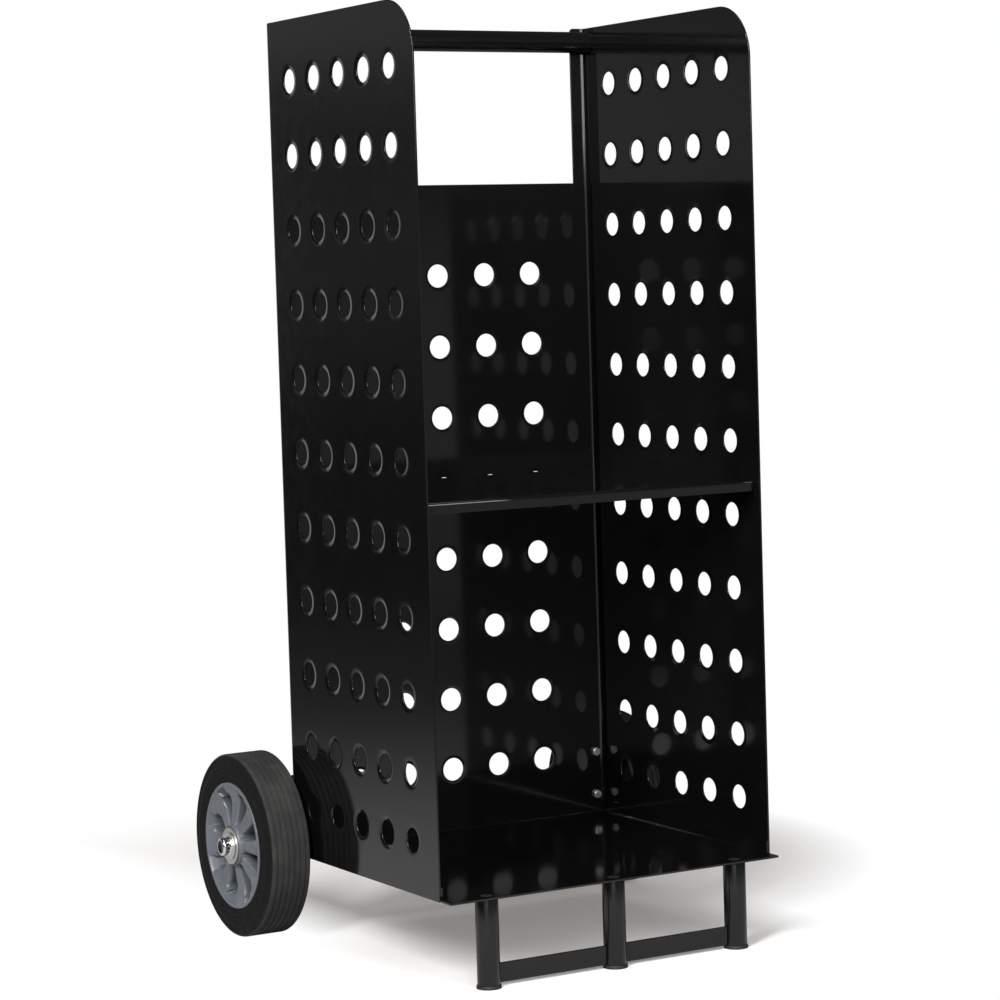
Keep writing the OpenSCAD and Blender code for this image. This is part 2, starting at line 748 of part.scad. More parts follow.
module left_tyre() { on_left() tyre(); }
module left_hub() { on_left() hub(); }
module left_bearing_outer_races() { on_left() bearing_outer_races(); }
module left_bearing_inner_races() { on_left() bearing_inner_races(); }
module left_bearing_balls() { on_left() bearing_balls(); }
module left_bearing_shields() { on_left() bearing_shields(); }
module left_bearing_sleeve() { on_left() bearing_sleeve(); }
module left_inner_washer() { mirror([1, 0, 0]) inner_washer(); }
module left_outer_washer() { mirror([1, 0, 0]) outer_washer(); }
module left_retaining_cap() { mirror([1, 0, 0]) retaining_cap(); }
module right_tyre() { on_right() tyre(); }
module right_hub() { on_right() hub(); }
module right_bearing_outer_races() { on_right() bearing_outer_races(); }
module right_bearing_inner_races() { on_right() bearing_inner_races(); }
module right_bearing_balls() { on_right() bearing_balls(); }
module right_bearing_shields() { on_right() bearing_shields(); }
module right_bearing_sleeve() { on_right() bearing_sleeve(); }
module right_inner_washer() { inner_washer(); }
module right_outer_washer() { outer_washer(); }
module right_retaining_cap() { retaining_cap(); }

left_side_panel();
right_side_panel();
back_panel();
middle_shelf();
floor_tray();
handle_bar();
handle_screws();
leg_left();
leg_centre();
leg_right();
leg_plugs();
leg_screws();
foot_cap_left();
foot_cap_centre();
foot_cap_right();
cross_bar_left();
cross_bar_right();
axle();
axle_bracket_left();
axle_bracket_right();
bracket_bolts();
bracket_nuts();
left_tyre();
left_hub();
left_bearing_outer_races();
left_bearing_inner_races();
left_bearing_balls();
left_bearing_shields();
left_bearing_sleeve();
left_inner_washer();
left_outer_washer();
left_retaining_cap();
right_tyre();
right_hub();
right_bearing_outer_races();
right_bearing_inner_races();
right_bearing_balls();
right_bearing_shields();
right_bearing_sleeve();
right_inner_washer();
right_outer_washer();
right_retaining_cap();
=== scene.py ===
"""Looks of the fireside log cart: finishes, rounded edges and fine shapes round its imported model."""

import json
import math

import bmesh
import bpy
import numpy as np
from mathutils import Matrix, Vector
from mathutils.geometry import delaunay_2d_cdt


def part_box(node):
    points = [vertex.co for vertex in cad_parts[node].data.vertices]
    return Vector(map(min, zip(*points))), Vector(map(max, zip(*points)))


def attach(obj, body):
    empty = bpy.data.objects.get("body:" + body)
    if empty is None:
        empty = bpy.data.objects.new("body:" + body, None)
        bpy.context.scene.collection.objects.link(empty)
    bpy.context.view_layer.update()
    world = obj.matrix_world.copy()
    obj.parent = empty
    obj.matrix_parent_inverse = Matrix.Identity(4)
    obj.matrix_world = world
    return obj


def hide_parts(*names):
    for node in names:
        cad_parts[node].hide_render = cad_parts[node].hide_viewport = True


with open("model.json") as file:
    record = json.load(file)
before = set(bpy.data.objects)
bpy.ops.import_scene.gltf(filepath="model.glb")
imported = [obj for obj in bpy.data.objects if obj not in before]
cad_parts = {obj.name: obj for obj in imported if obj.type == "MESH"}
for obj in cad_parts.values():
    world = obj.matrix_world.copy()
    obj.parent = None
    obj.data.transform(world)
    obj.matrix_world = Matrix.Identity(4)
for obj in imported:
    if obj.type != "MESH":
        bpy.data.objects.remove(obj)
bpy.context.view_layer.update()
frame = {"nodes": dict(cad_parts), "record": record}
nodes = frame["nodes"]

# ---- Sizes, in metres ----
MM = 0.001

# The body's sheets, as in the CAD, apart from the rear bend, which is softer here
SHEET_T = 2 * MM
BEND_R = 5 * MM
HOLE_R = 13 * MM
SIDE_PITCH = 57 * MM
BACK_PITCH = 60 * MM
ROW_PITCH = 80 * MM
LAST_ROW_PITCH = 69 * MM
# From the top of a panel down to its first row of holes
SIDE_TOP_MARGIN = 66 * MM
BACK_TOP_MARGIN = 102 * MM
SIDE_COLUMNS = 5
SIDE_ROWS = 10
BACK_COLUMNS = 5
BACK_ROWS = 8
# Corners: the wide one at the front's top, plain small ones, ones cut almost square, and the flange's top
FRONT_CORNER_R = 57 * MM
SMALL_CORNER_R = 2 * MM
SHARP_CORNER_R = 1.1 * MM
FLANGE_CORNER_R = 5 * MM
# Room round a bolt or a screw in its hole
SCREW_CLEAR = 0.25 * MM

# Rounding of a coated sheet edge: along the sides, along the top and in the screw holes
EDGE_R = 0.5 * MM
TOP_EDGE_R = 0.95 * MM
SCREW_HOLE_EDGE_R = 0.4 * MM
EDGE_STEPS = 4
RING_SEGMENTS = 48
CORNER_STEPS = 14
BEND_STEPS = 12
# The shallow dish that the punch leaves round a hole. The inner skin follows it by a share.
DISH_RINGS = 7
INNER_DISH_SHARE = 0.45
SIDE_DISH_W = 6 * MM
# Its depth in each hole column of a side panel, from the rear to the front
SIDE_DISH_DEPTHS = [0.6 * MM, 1.0 * MM, 0.7 * MM, 1.0 * MM, 0.35 * MM]
BACK_DISH_W = 4 * MM
BACK_DISH_DEPTH = 0.25 * MM

# Places taken from the frame
panel_lo, panel_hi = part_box("right_side_panel")
back_lo, back_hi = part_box("back_panel")
screws_lo, screws_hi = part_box("handle_screws")
bolts_lo, bolts_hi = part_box("bracket_bolts")
nuts_lo, nuts_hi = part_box("bracket_nuts")
bar_lo, bar_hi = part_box("handle_bar")
axle_lo, axle_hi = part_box("axle")
tyre_lo, tyre_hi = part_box("right_tyre")
axle_y, axle_z = (axle_lo.y + axle_hi.y) / 2, (axle_lo.z + axle_hi.z) / 2
axle_r = (axle_hi.z - axle_lo.z) / 2
wheel_x = (tyre_lo.x + tyre_hi.x) / 2
wheel_r = (tyre_hi.z - tyre_lo.z) / 2

# Bolts and nuts, sized as in the CAD, with threads and chamfers
BOLT_R = 3 * MM
BOLT_PITCH = 50 * MM
BOLT_HEAD_H = 4 * MM
BOLT_TAPER = 0.7 * MM
THREAD_PITCH = 1 * MM
THREAD_DEPTH = 0.5 * MM
NUT_BORE_R = BOLT_R + 0.05 * MM
NUT_CHAMFER = 0.4 * MM
HEX_SEGMENTS = 48
# Slope of the chamfer at a hexagon's corners, and the flat face's share of the width across the flats
HEX_CHAMFER = math.radians(30)
HEX_FACE_SHARE = 0.95
hex_r = (bolts_hi.z - bolts_lo.z - BOLT_PITCH) / 2
bolt_zs = [bolts_lo.z + hex_r, bolts_hi.z - hex_r]
bolt_axis_x = (panel_lo.x + back_hi.x) / 2

# Handle screws, sized as in the CAD: a low dome over a straight rim, with a cross recess
SCREW_R = 2.5 * MM
SCREW_TAPER = 0.6 * MM
SCREW_HEAD_R = 4.5 * MM
SCREW_HEAD_H = 3 * MM
SCREW_RIM_H = 0.7 * MM
DOME_R = SCREW_HEAD_R - 0.1 * MM
DOME_RINGS = 26
# Fall of the dome from its middle to its edge: at the edge alone, and evenly
DOME_EDGE_FALL = 1.9 * MM
DOME_CROWN_FALL = 0.3 * MM
RECESS_HALF_W = 0.75 * MM
RECESS_HALF_LEN = 2.4 * MM
RECESS_DEPTH = 1.5 * MM
# How far the recess's sides and ends slope
RECESS_SIDE_SLOPE = 0.25 * MM
RECESS_END_SLOPE = 0.5 * MM
handle_screw_x = screws_hi.x - SCREW_HEAD_R
handle_z = (bar_lo.z + bar_hi.z) / 2

# Tyre
TYRE_SEGMENTS = 192
TREAD_HALF_W = 22.8 * MM
SHOULDER_R = 2.5 * MM
SHOULDER_STEPS = 5
GROOVES = 6
GROOVE_TOP_W = 1.82 * MM
GROOVE_FLOOR_W = 1.04 * MM
GROOVE_DEPTH = 1.2 * MM
# Gap and rounding beside the hub's lip
BEAD_GAP = 0.2 * MM
BEAD_ROUND = 0.6 * MM
# Sunken rings in the wall: the first one's distance from the lip, then their pitch, width, slope and depth
WALL_RINGS = 3
FIRST_WALL_RING = 4.2 * MM
WALL_RING_PITCH = 5.4 * MM
WALL_RING_W = 1.9 * MM
WALL_RING_SLOPE = 0.5 * MM
WALL_RING_DEPTH = 0.35 * MM
# A slightly hollow band from this radius to the shoulder, as (share of the way, depth)
WALL_FLAT_R = 89 * MM
WALL_HOLLOW = [(0.0, 0.0), (0.15, 0.5 * MM), (0.5, 0.9 * MM), (0.85, 0.5 * MM), (1.0, 0.0)]
HUB_LIP_R = 70 * MM
HUB_SEAT_R = 66 * MM
HUB_SEAT_HALF_W = 22 * MM
wall_x = (tyre_hi.x - tyre_lo.x) / 2

# Hub, its heights measured along the axle from the middle of the tread
SPOKES = 8
# Turn of the spokes about the axle, in the photograph
SPOKE_TURN = math.radians(-4)
# Half of a spoke's width at the boss and at the rim, and how it flares into both
SPOKE_HALF_IN = 5.4 * MM
SPOKE_HALF_OUT = 11.5 * MM
SPOKE_FLARE_IN = 2.5 * MM
SPOKE_FLARE_OUT = 6 * MM
# Height of a spoke's crest at the boss, where its sweep starts, and at the end of the sweep
SPOKE_TOP_IN = 22 * MM
SPOKE_TOP_OUT = 18 * MM
SPOKE_TOP_END = 23.8 * MM
SWEEP_FROM_R = 46 * MM
SWEEP_TO_R = 65.4 * MM
# Rounding along a spoke's crest and along its foot, and the draft of its side
SPOKE_EDGE_R = 3.6 * MM
SPOKE_EDGE_SHARE = 0.8
SPOKE_EDGE_STEPS = 6
SPOKE_FOOT_R = 2.5 * MM
SPOKE_FOOT_STEPS = 4
SPOKE_DRAFT = 0.3 * MM
WEB_TOP = 2.5 * MM
# Steps of a pocket's floor from a spoke's foot to the middle of the pocket, and the foot's farthest reach
POCKET_STEPS = 3
POCKET_REACH_SHARE = 0.96
# Smallest angle between two neighbouring points of a ring
LEAST_TURN = 1e-4
BOSS_R = 23.5 * MM
BOSS_TOP_R = 22.4 * MM
BOSS_ROUND = 0.4 * MM
BOSS_ROUND_W = 0.3 * MM
# Rings down the boss's wall, as shares of the way to the spokes, and how far above them it ends
BOSS_WALL_SHARES = (0.3, 0.7, 0.95)
BOSS_FOOT = 1 * MM
# Rings across the spokes, as bands (from, to, rings), closer where the spokes flare
SPOKE_BANDS = [(BOSS_R + 0.1 * MM, BOSS_R + 3 * MM, 5), (BOSS_R + 5 * MM, 54 * MM, 14),
               (55 * MM, SWEEP_TO_R, 23)]
BOSS_OUT = 26 * MM
BOSS_IN = 27 * MM
# The pocket's end wall, and the cone from its top up to the rim's lip
POCKET_END_R = 59.2 * MM
CONE_FOOT_R = 60.2 * MM
CONE_FOOT_X = 9 * MM
LIP_IN_R = 66.3 * MM
LIP_OUT = 25 * MM
LIP_ROUND_R = 0.6 * MM
LIP_STEPS = 4
# The lip's inner rounding starts from this slope
LIP_START = math.radians(20)
BEARING_R = 17.5 * MM
BEARING_CHAMFER = 0.3 * MM
BEARING_FLANGE_R = 20.5 * MM
BEARING_SEAT = 9.5 * MM
HUB_BORE_R = 11.75 * MM
# Groove round the bearing's flange, as (radius past the flange, depth)
FLANGE_GROOVE = [(0.1 * MM, 0), (0.2 * MM, 1.2 * MM), (0.9 * MM, 1.2 * MM), (1.0 * MM, 0.2 * MM),
                 (1.2 * MM, 0)]

# Retaining cap, its rim as (distance in from its radius, distance from its seat)
CAP_BORE_GAP = 0.1 * MM
CAP_BORE_END_GAP = 0.4 * MM
CAP_RIM = [(0.3 * MM, 0), (0, 0.4 * MM), (0, 1.2 * MM), (0.3 * MM, 1.6 * MM), (0.9 * MM, 1.9 * MM)]
CAP_WALL_IN = 1.0 * MM
CAP_END_IN = 1.3 * MM
CAP_ROUND_R = 2.4 * MM
CAP_ROUND_TO = math.radians(82)
CAP_STEPS = 6
CAP_DISH = 0.9 * MM
CAP_HOLLOW_R = 7.4 * MM

# ---- Node helpers ----


def node_material(name):
    """A new material with its node tree and its Principled shader."""
    made = bpy.data.materials.new(name)
    made.use_nodes = True
    tree = made.node_tree
    return made, tree, tree.nodes["Principled BSDF"]


def add_node(tree, kind, inputs=None, **settings):
    """A node of that kind, with its settings, and its inputs given as values or as sockets to link."""
    node = tree.nodes.new(kind)
    for key, value in settings.items():
        setattr(node, key, value)
    for key, value in (inputs or {}).items():
        if isinstance(value, bpy.types.NodeSocket):
            tree.links.new(value, node.inputs[key])
        else:
            node.inputs[key].default_value = value
    return node


def object_coords(tree):
    """The object's own coordinates."""
    return add_node(tree, "ShaderNodeTexCoord").outputs["Object"]


def component(tree, coords, axis):
    """One of three coordinates."""
    return add_node(tree, "ShaderNodeSeparateXYZ", {0: coords}).outputs[axis]


def calculate(tree, operation, first, second=0.0):
    """A sum, a product or the like of two values."""
    return add_node(tree, "ShaderNodeMath", {0: first, 1: second}, operation=operation).outputs[0]


def distance_from(tree, coords, centre):
    """Distance of a point from a centre."""
    arm = add_node(tree, "ShaderNodeVectorMath", {0: coords, 1: centre}, operation="SUBTRACT").outputs[0]
    return add_node(tree, "ShaderNodeVectorMath", {0: arm}, operation="LENGTH").outputs["Value"]


def axle_distance(tree):
    """Distance of a point from the axle's line."""
    inputs = {0: object_coords(tree), 1: (0, 1, 1)}
    flat = add_node(tree, "ShaderNodeVectorMath", inputs, operation="MULTIPLY").outputs[0]
    return distance_from(tree, flat, (0, axle_y, axle_z))


def noise(tree, scale, detail=2.0, roughness=0.5):
    """Noise on the object's own coordinates; its Fac output."""
    inputs = {"Vector": object_coords(tree), "Scale": scale, "Detail": detail, "Roughness": roughness}
    return add_node(tree, "ShaderNodeTexNoise", inputs).outputs["Fac"]


def remap(tree, value, old, new=(0, 1), **settings):
    """Maps value from the range old to the range new, clamped."""
    inputs = {"Value": value, "From Min": old[0], "From Max": old[1], "To Min": new[0], "To Max": new[1]}
    return add_node(tree, "ShaderNodeMapRange", inputs, **settings).outputs["Result"]


def shaded(colour, share):
    """A colour made darker or lighter, at most white."""
    return [min(1, share * c) for c in colour]


def blend_colour(tree, share, first, second):
    """Mixes two colours by a share from 0 to 1."""
    first, second = (c if isinstance(c, bpy.types.NodeSocket) else (*c, 1) for c in (first, second))
    return add_node(tree, "ShaderNodeMix", {0: share, 6: first, 7: second}, data_type="RGBA").outputs[2]


def bump(tree, height, distance, strength, under=None):
    """A bump of that height in metres, on top of another one."""
    made = add_node(tree, "ShaderNodeBump", {"Height": height, "Distance": distance, "Strength": strength})
    if under:
        tree.links.new(under, made.inputs["Normal"])
    return made.outputs["Normal"]


# ---- Materials ----
# Scales of the noises, in waves per metre
WAVE_SCALE = 9
CLOUD_SCALE = 22
FLOW_SCALE = 35
BLOTCH_SCALE = 38
PATCH_SCALE = 60
WEAR_SCALE = 90
MARK_SCALE = 160
PEEL_SCALE = 700
PORE_SCALE = 1100
GRAIN_SCALE = 1400
# The range that holds most of a noise
NOISE_RANGE = (0.3, 0.7)
# Heights of the bumps
WAVE_HEIGHT = 0.4 * MM
FINE_HEIGHT = 0.02 * MM
PORE_HEIGHT = 0.03 * MM
WAVE_STRENGTH = 0.08

POWDER_BLACK = (0.0032, 0.0032, 0.0034)
WALL_RUBBER = (0.0065, 0.0065, 0.007)
TREAD_RUBBER = (0.026, 0.0262, 0.0262)
DUST = (0.072, 0.068, 0.060)
# Near black, painted as shade into the hollow of the cap's end
CAP_HOLLOW_SHADE = (0.012, 0.012, 0.012)
# Share of the hub's colour left on its pockets' floors by painted shade
POCKET_SHADE_SHARE = 0.22


def vary_colour(tree, shader, value, colour, darkest, lightest):
    """Lets the colour follow a noise between two shares of it."""
    shade = blend_colour(tree, value, shaded(colour, darkest), shaded(colour, lightest))
    tree.links.new(shade, shader.inputs["Base Color"])


def vary_roughness(tree, shader, value, roughness, spread):
    """Lets the roughness follow a noise, by spread to either side."""
    tree.links.new(remap(tree, value, NOISE_RANGE, (roughness - spread, roughness + spread)),
                   shader.inputs["Roughness"])


def powder_coat(name, colour, roughness, spread, peel_strength):
    """Black powder coat: a fine orange peel, a slight waviness and roughness that varies a little."""
    made, tree, shader = node_material(name)
    vary_colour(tree, shader, noise(tree, CLOUD_SCALE, 3), colour, 0.85, 1.2)
    vary_roughness(tree, shader, noise(tree, PATCH_SCALE, 4), roughness, spread)
    waves = bump(tree, noise(tree, WAVE_SCALE, 1), WAVE_HEIGHT, WAVE_STRENGTH)
    peel = bump(tree, noise(tree, PEEL_SCALE, 2), FINE_HEIGHT, peel_strength, waves)
    tree.links.new(peel, shader.inputs["Normal"])
    return made


def metal(name, colour, roughness, spread):
    """A plain metal with faint marks."""
    made, tree, shader = node_material(name)
    shader.inputs["Metallic"].default_value = 1.0
    marks = noise(tree, MARK_SCALE, 5, 0.6)
    vary_colour(tree, shader, marks, colour, 0.82, 1.1)
    vary_roughness(tree, shader, marks, roughness, spread)
    tree.links.new(bump(tree, marks, FINE_HEIGHT, 0.3), shader.inputs["Normal"])
    return made


def plastic(name, colour, roughness, grain, shades=(0.9, 1.12), shade_pockets=False):
    """Moulded plastic with a fine grain and faint flow marks. The hub's has painted shade on its pockets'
    floors.
    """
    made, tree, shader = node_material(name)
    flow = noise(tree, FLOW_SCALE, 3)
    shade = blend_colour(tree, flow, shaded(colour, shades[0]), shaded(colour, shades[1]))
    if shade_pockets:
        # Painted shade: the colour darkens from the spokes' crests down to the pockets' floors
        across = calculate(tree, "ABSOLUTE", component(tree, object_coords(tree), "X"))
        height = calculate(tree, "ABSOLUTE", calculate(tree, "SUBTRACT", across, wheel_x))
        pocket_shade = remap(tree, height, (WEB_TOP, SPOKE_TOP_OUT), (1, 0))
        shade = blend_colour(tree, pocket_shade, shade, shaded(colour, POCKET_SHADE_SHARE))
    tree.links.new(shade, shader.inputs["Base Color"])
    vary_roughness(tree, shader, flow, roughness, 0.06)
    tree.links.new(bump(tree, noise(tree, GRAIN_SCALE, 2), FINE_HEIGHT, grain), shader.inputs["Normal"])
    return made


def rubber(name, colour, roughness, spread):
    """Matt black rubber, its tread a paler grey with faint blotches of dust."""
    made, tree, shader = node_material(name)
    shader.inputs["Specular IOR Level"].default_value = 0.12
    on_tread = remap(tree, axle_distance(tree), (wheel_r - 3.0 * MM, wheel_r - 1.0 * MM))
    blotches = remap(tree, noise(tree, BLOTCH_SCALE, 5, 0.6), (0.45, 0.75), (0, 0.45))
    worn = blend_colour(tree, blotches, TREAD_RUBBER, DUST)
    tree.links.new(blend_colour(tree, on_tread, colour, worn), shader.inputs["Base Color"])
    vary_roughness(tree, shader, noise(tree, WEAR_SCALE, 3), roughness, spread)
    tree.links.new(bump(tree, noise(tree, PORE_SCALE, 2), PORE_HEIGHT, 0.4), shader.inputs["Normal"])
    return made


def chrome(name, colour, roughness, spread):
    """Polished chrome, with painted shade darkening the hollow of the cap's end."""
    made, tree, shader = node_material(name)
    shader.inputs["Metallic"].default_value = 1.0
    marks = noise(tree, MARK_SCALE, 5, 0.6)
    polished = blend_colour(tree, marks, shaded(colour, 0.9), shaded(colour, 1.1))
    uneven = calculate(tree, "ADD", axle_distance(tree), remap(tree, marks, (0, 1), (-MM, MM)))
    inside = remap(tree, uneven, (CAP_HOLLOW_R, CAP_HOLLOW_R - 0.6 * MM))
    across = calculate(tree, "ABSOLUTE", component(tree, object_coords(tree), "X"))
    at_end = remap(tree, across, (axle_hi.x + 1.0 * MM, axle_hi.x + 1.5 * MM))
    # Painted shade: the hollow of the cap's end is coloured near black
    shade = blend_colour(tree, calculate(tree, "MULTIPLY", inside, at_end), polished, CAP_HOLLOW_SHADE)
    tree.links.new(shade, shader.inputs["Base Color"])
    vary_roughness(tree, shader, marks, roughness, spread)
    return made


# The function that makes each slot's finish, and its arguments
FINISHES = {
    "sheet_powder_coat": (powder_coat, POWDER_BLACK, 0.08, 0.02, 0.2),
    "tube_powder_coat": (powder_coat, POWDER_BLACK, 0.16, 0.02, 0.5),
    "zinc_steel": (metal, (0.74, 0.75, 0.77), 0.40, 0.06),
    "black_screw": (plastic, (0.018, 0.018, 0.019), 0.38, 0.2),
    "foot_plastic": (plastic, (0.010, 0.010, 0.010), 0.55, 0.5),
    "hub_plastic": (plastic, (0.112, 0.124, 0.142), 0.30, 0.25, (0.88, 1.14), True),
    "tyre_rubber": (rubber, WALL_RUBBER, 0.70, 0.08),
    "bearing_steel": (metal, (0.66, 0.65, 0.58), 0.38, 0.06),
    "bearing_shield": (metal, (0.70, 0.67, 0.58), 0.34, 0.06),
    "cap_chrome": (chrome, (0.80, 0.81, 0.82), 0.07, 0.02),
}
MATERIALS = {slot: make(slot, *values) for slot, (make, *values) in FINISHES.items()}

# ---- Object and mesh helpers ----
# Points closer than this are one
POINT_GAP = 1e-7
# A triangle whose middle lies within this share of a hole's radius is in the hole
HOLE_SHARE = 0.99


def new_object(name, data):
    """A new object with that data, in the scene."""
    made = bpy.data.objects.new(name, data)
    bpy.context.scene.collection.objects.link(made)
    return made


def new_piece(name, points, faces, slot, body, replaced, normals=None, sharp=35):
    """Makes a piece from points and faces, gives it its finish and its body, and puts it in place of the
    replaced nodes. Without normals of its own, its edges sharper than so many degrees stay sharp."""
    mesh = bpy.data.meshes.new(name)
    mesh.from_pydata([tuple(p) for p in points], [], faces)
    tidy = bmesh.new()
    tidy.from_mesh(mesh)
    if normals is None:
        bmesh.ops.remove_doubles(tidy, verts=tidy.verts, dist=POINT_GAP)
    bmesh.ops.recalc_face_normals(tidy, faces=tidy.faces)
    tidy.to_mesh(mesh)
    tidy.free()
    mesh.shade_smooth()
    if normals is None:
        mesh.set_sharp_from_angle(angle=math.radians(sharp))
    else:
        mesh.normals_split_custom_set_from_vertices([tuple(n) for n in normals])
    mesh.materials.append(MATERIALS[slot])
    piece = new_object(name, mesh)
    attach(piece, body)
    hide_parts(*replaced)


def grid_faces(rows, columns):
    """Quads over a grid of points that closes on itself both ways."""
    i, j = np.meshgrid(np.arange(rows), np.arange(columns), indexing="ij")
    right, down = (j + 1) % columns, (i + 1) % rows
    quads = np.stack([i * columns + j, i * columns + right, down * columns + right, down * columns + j], -1)
    return quads.reshape(-1, 4).tolist()


def turned(profile, segments):
    """Points and faces of a closed profile of (radius, along) pairs, turned about the axle's line."""
    radius, along = np.array(profile, float).T
    angles = np.linspace(0, 2 * np.pi, segments, endpoint=False)
    points = np.stack([np.repeat(along[None, :], segments, 0), axle_y + np.outer(np.cos(angles), radius),
                       axle_z + np.outer(np.sin(angles), radius)], -1).reshape(-1, 3)
    return points, grid_faces(segments, len(profile))


# ---- Punched and bent sheets ----


class Pattern:
    """A sheet drawn flat: u runs along it, v is its height, and w stands out of its middle plane."""

    def __init__(self):
        """An empty sheet."""
        self.blocks = []
        self.count = 0
        self.faces = []

    def ring(self, uv, w, normal):
        """Adds a ring of points with their normals in u, v and w, and returns their numbers."""
        w = np.broadcast_to(w, len(uv))
        self.blocks.append(np.column_stack([uv, w, normal]))
        numbers = np.arange(self.count, self.count + len(uv))
        self.count += len(uv)
        return numbers

    def strip(self, a, b):
        """Quads between two rings of as many points."""
        self.faces += np.column_stack([a, np.roll(a, -1), np.roll(b, -1), b]).tolist()

    def edge(self, at, out, drop=0.0, slope=0.0, edge_r=EDGE_R):
        """The rounded edge from one skin round to the other, and the two rings where the skins begin.
        at(inset) gives the edge's points moved into the sheet, and out points out of the sheet."""
        rings = []
        angles = np.linspace(0, np.pi / 2, EDGE_STEPS + 1)
        for side, turn in ((1, angles), (-1, angles[::-1])):
            share = 1 if side > 0 else INNER_DISH_SHARE
            tilt = math.atan(slope * share)
            up = np.column_stack([out * math.sin(tilt), np.full(len(out), math.cos(tilt))])
            away = np.column_stack([out * math.cos(tilt), np.full(len(out), -math.sin(tilt))])
            for a in turn:
                w = side * (SHEET_T / 2 - edge_r * (1 - math.cos(a))) + drop * share
                normal = side * math.cos(a) * up + math.sin(a) * away
                rings.append(self.ring(at(edge_r * (1 - math.sin(a))), w, normal))
        for a, b in zip(rings, rings[1:]):
            self.strip(a, b)
        return rings[0], rings[-1]

    def hole(self, centre, radius, dish_w=0.0, dish_depth=0.0):
        """A punched hole with its dish; returns the outermost ring of each skin."""
        angles = np.linspace(0, 2 * np.pi, RING_SEGMENTS, endpoint=False)
        ray = np.column_stack([np.cos(angles), np.sin(angles)])
        slope = 2 * dish_depth / dish_w if dish_w else 0.0
        edge_r = EDGE_R if dish_w else SCREW_HOLE_EDGE_R
        skins = self.edge(lambda inset: np.array(centre) + ray * (radius + inset), -ray, -dish_depth, slope,
                          edge_r)
        if not dish_w:
            return skins
        ends = []
        for side, share, skin in zip((1, -1), (1, INNER_DISH_SHARE), skins):
            last = skin
            for q in np.linspace(0, 1, DISH_RINGS + 1)[1:]:
                r = radius + EDGE_R + q * (dish_w - EDGE_R)
                tilt = math.atan(slope * share * (1 - q))
                w = side * SHEET_T / 2 - share * dish_depth * (1 - q) ** 2
                normal = side * np.column_stack([-ray * math.sin(tilt), np.full(len(ray), math.cos(tilt))])
                here = self.ring(np.array(centre) + ray * r, w, normal)
                self.strip(last, here)
                last = here
            ends.append(last)
        return ends

    def fill(self, outline, holes, columns):
        """Triangles between the outline and the holes on both skins. columns are pairs of outline points
        that a fold runs between."""
        flat = np.concatenate(self.blocks)[:, :2]
        loops = [outline[0]] + [h[0][0] for h in holes]
        order = np.concatenate(loops)
        other = np.concatenate([outline[1]] + [h[0][1] for h in holes])
        edges, start = [], 0
        for loop in loops:
            n = len(loop)
            edges += [(start + i, start + (i + 1) % n) for i in range(n)]
            start += n
        edges += columns
        made = delaunay_2d_cdt([Vector(p) for p in flat[order]], edges, [], 0, POINT_GAP, True)
        where = [v[0] for v in made[3]]
        triangles = np.array([[where[i] for i in t] for t in made[2]])
        middle = flat[order][triangles].mean(1)
        keep = np.ones(len(triangles), bool)
        for _, centre, radius in holes:
            keep &= np.hypot(*(middle - centre).T) > radius * HOLE_SHARE
        triangles = triangles[keep]
        self.faces += order[triangles].tolist()
        self.faces += other[triangles[:, ::-1]].tolist()

    def folded(self, fold):
        """Points and normals in the frame; fold(u) gives the middle plane's point, tangent and normal."""
        rows = np.concatenate(self.blocks)
        u, v, w = rows[:, 0], rows[:, 1], rows[:, 2]
        point, tangent, out = fold(u)
        flat = point + out * w[:, None]
        turned_n = tangent * rows[:, 3:4] + out * rows[:, 5:6]
        return np.column_stack([flat, v]), np.column_stack([turned_n, rows[:, 4]])


def sheet_outline(lo, hi, radii, folds=()):
    """A rectangle with round corners, from the lower left round to the upper left: a function that gives
    its points moved in, their outward directions, and the pairs of points that the folds run between."""
    corners = [(lo[0], lo[1], 1, 1), (hi[0], lo[1], -1, 1), (hi[0], hi[1], -1, -1), (lo[0], hi[1], 1, -1)]
    centres, outs, spread = [], [], []
    fold_rows = {0: [], 2: []}
    for i, (u, v, du, dv) in enumerate(corners):
        r = radii[i]
        for a in np.linspace(180 + 90 * i, 270 + 90 * i, CORNER_STEPS + 1):
            direction = (math.cos(math.radians(a)), math.sin(math.radians(a)))
            centres.append((u + du * r, v + dv * r))
            outs.append(direction)
            spread.append(r)
        if i in fold_rows:
            for at in (folds if i == 0 else list(folds)[::-1]):
                fold_rows[i].append(len(centres))
                centres.append((at, lo[1] if i == 0 else hi[1]))
                outs.append((0, -1 if i == 0 else 1))
                spread.append(0.0)
    centres, outs, spread = np.array(centres), np.array(outs), np.array(spread)
    columns = list(zip(fold_rows[0], fold_rows[2][::-1]))
    return (lambda inset: centres + outs * (spread - inset)[:, None]), outs, columns


def punched_sheet(lo, hi, radii, holes, folds=()):
    """A Pattern with its edges, its holes and its two skins. A hole is (centre, radius, dish_w, depth)."""
    pattern = Pattern()
    at, outs, columns = sheet_outline(lo, hi, radii, folds)
    # Rounder along the top, where the coat runs over the edge
    outline = pattern.edge(at, outs, edge_r=EDGE_R + (TOP_EDGE_R - EDGE_R) * np.clip(outs[:, 1], 0, 1))
    cut = []
    for centre, radius, dish_w, depth in holes:
        rings = pattern.hole(centre, radius, dish_w, depth)
        cut.append((rings, np.array(centre), radius + (dish_w or SCREW_HOLE_EDGE_R)))
    pattern.fill(outline, cut, columns)
    return pattern


mid_r = BEND_R + SHEET_T / 2
bend_out_r = BEND_R + SHEET_T
flat_len = panel_hi.y - panel_lo.y - bend_out_r
bend_len = mid_r * math.pi / 2
flange_flat = panel_hi.x - panel_lo.x - bend_out_r


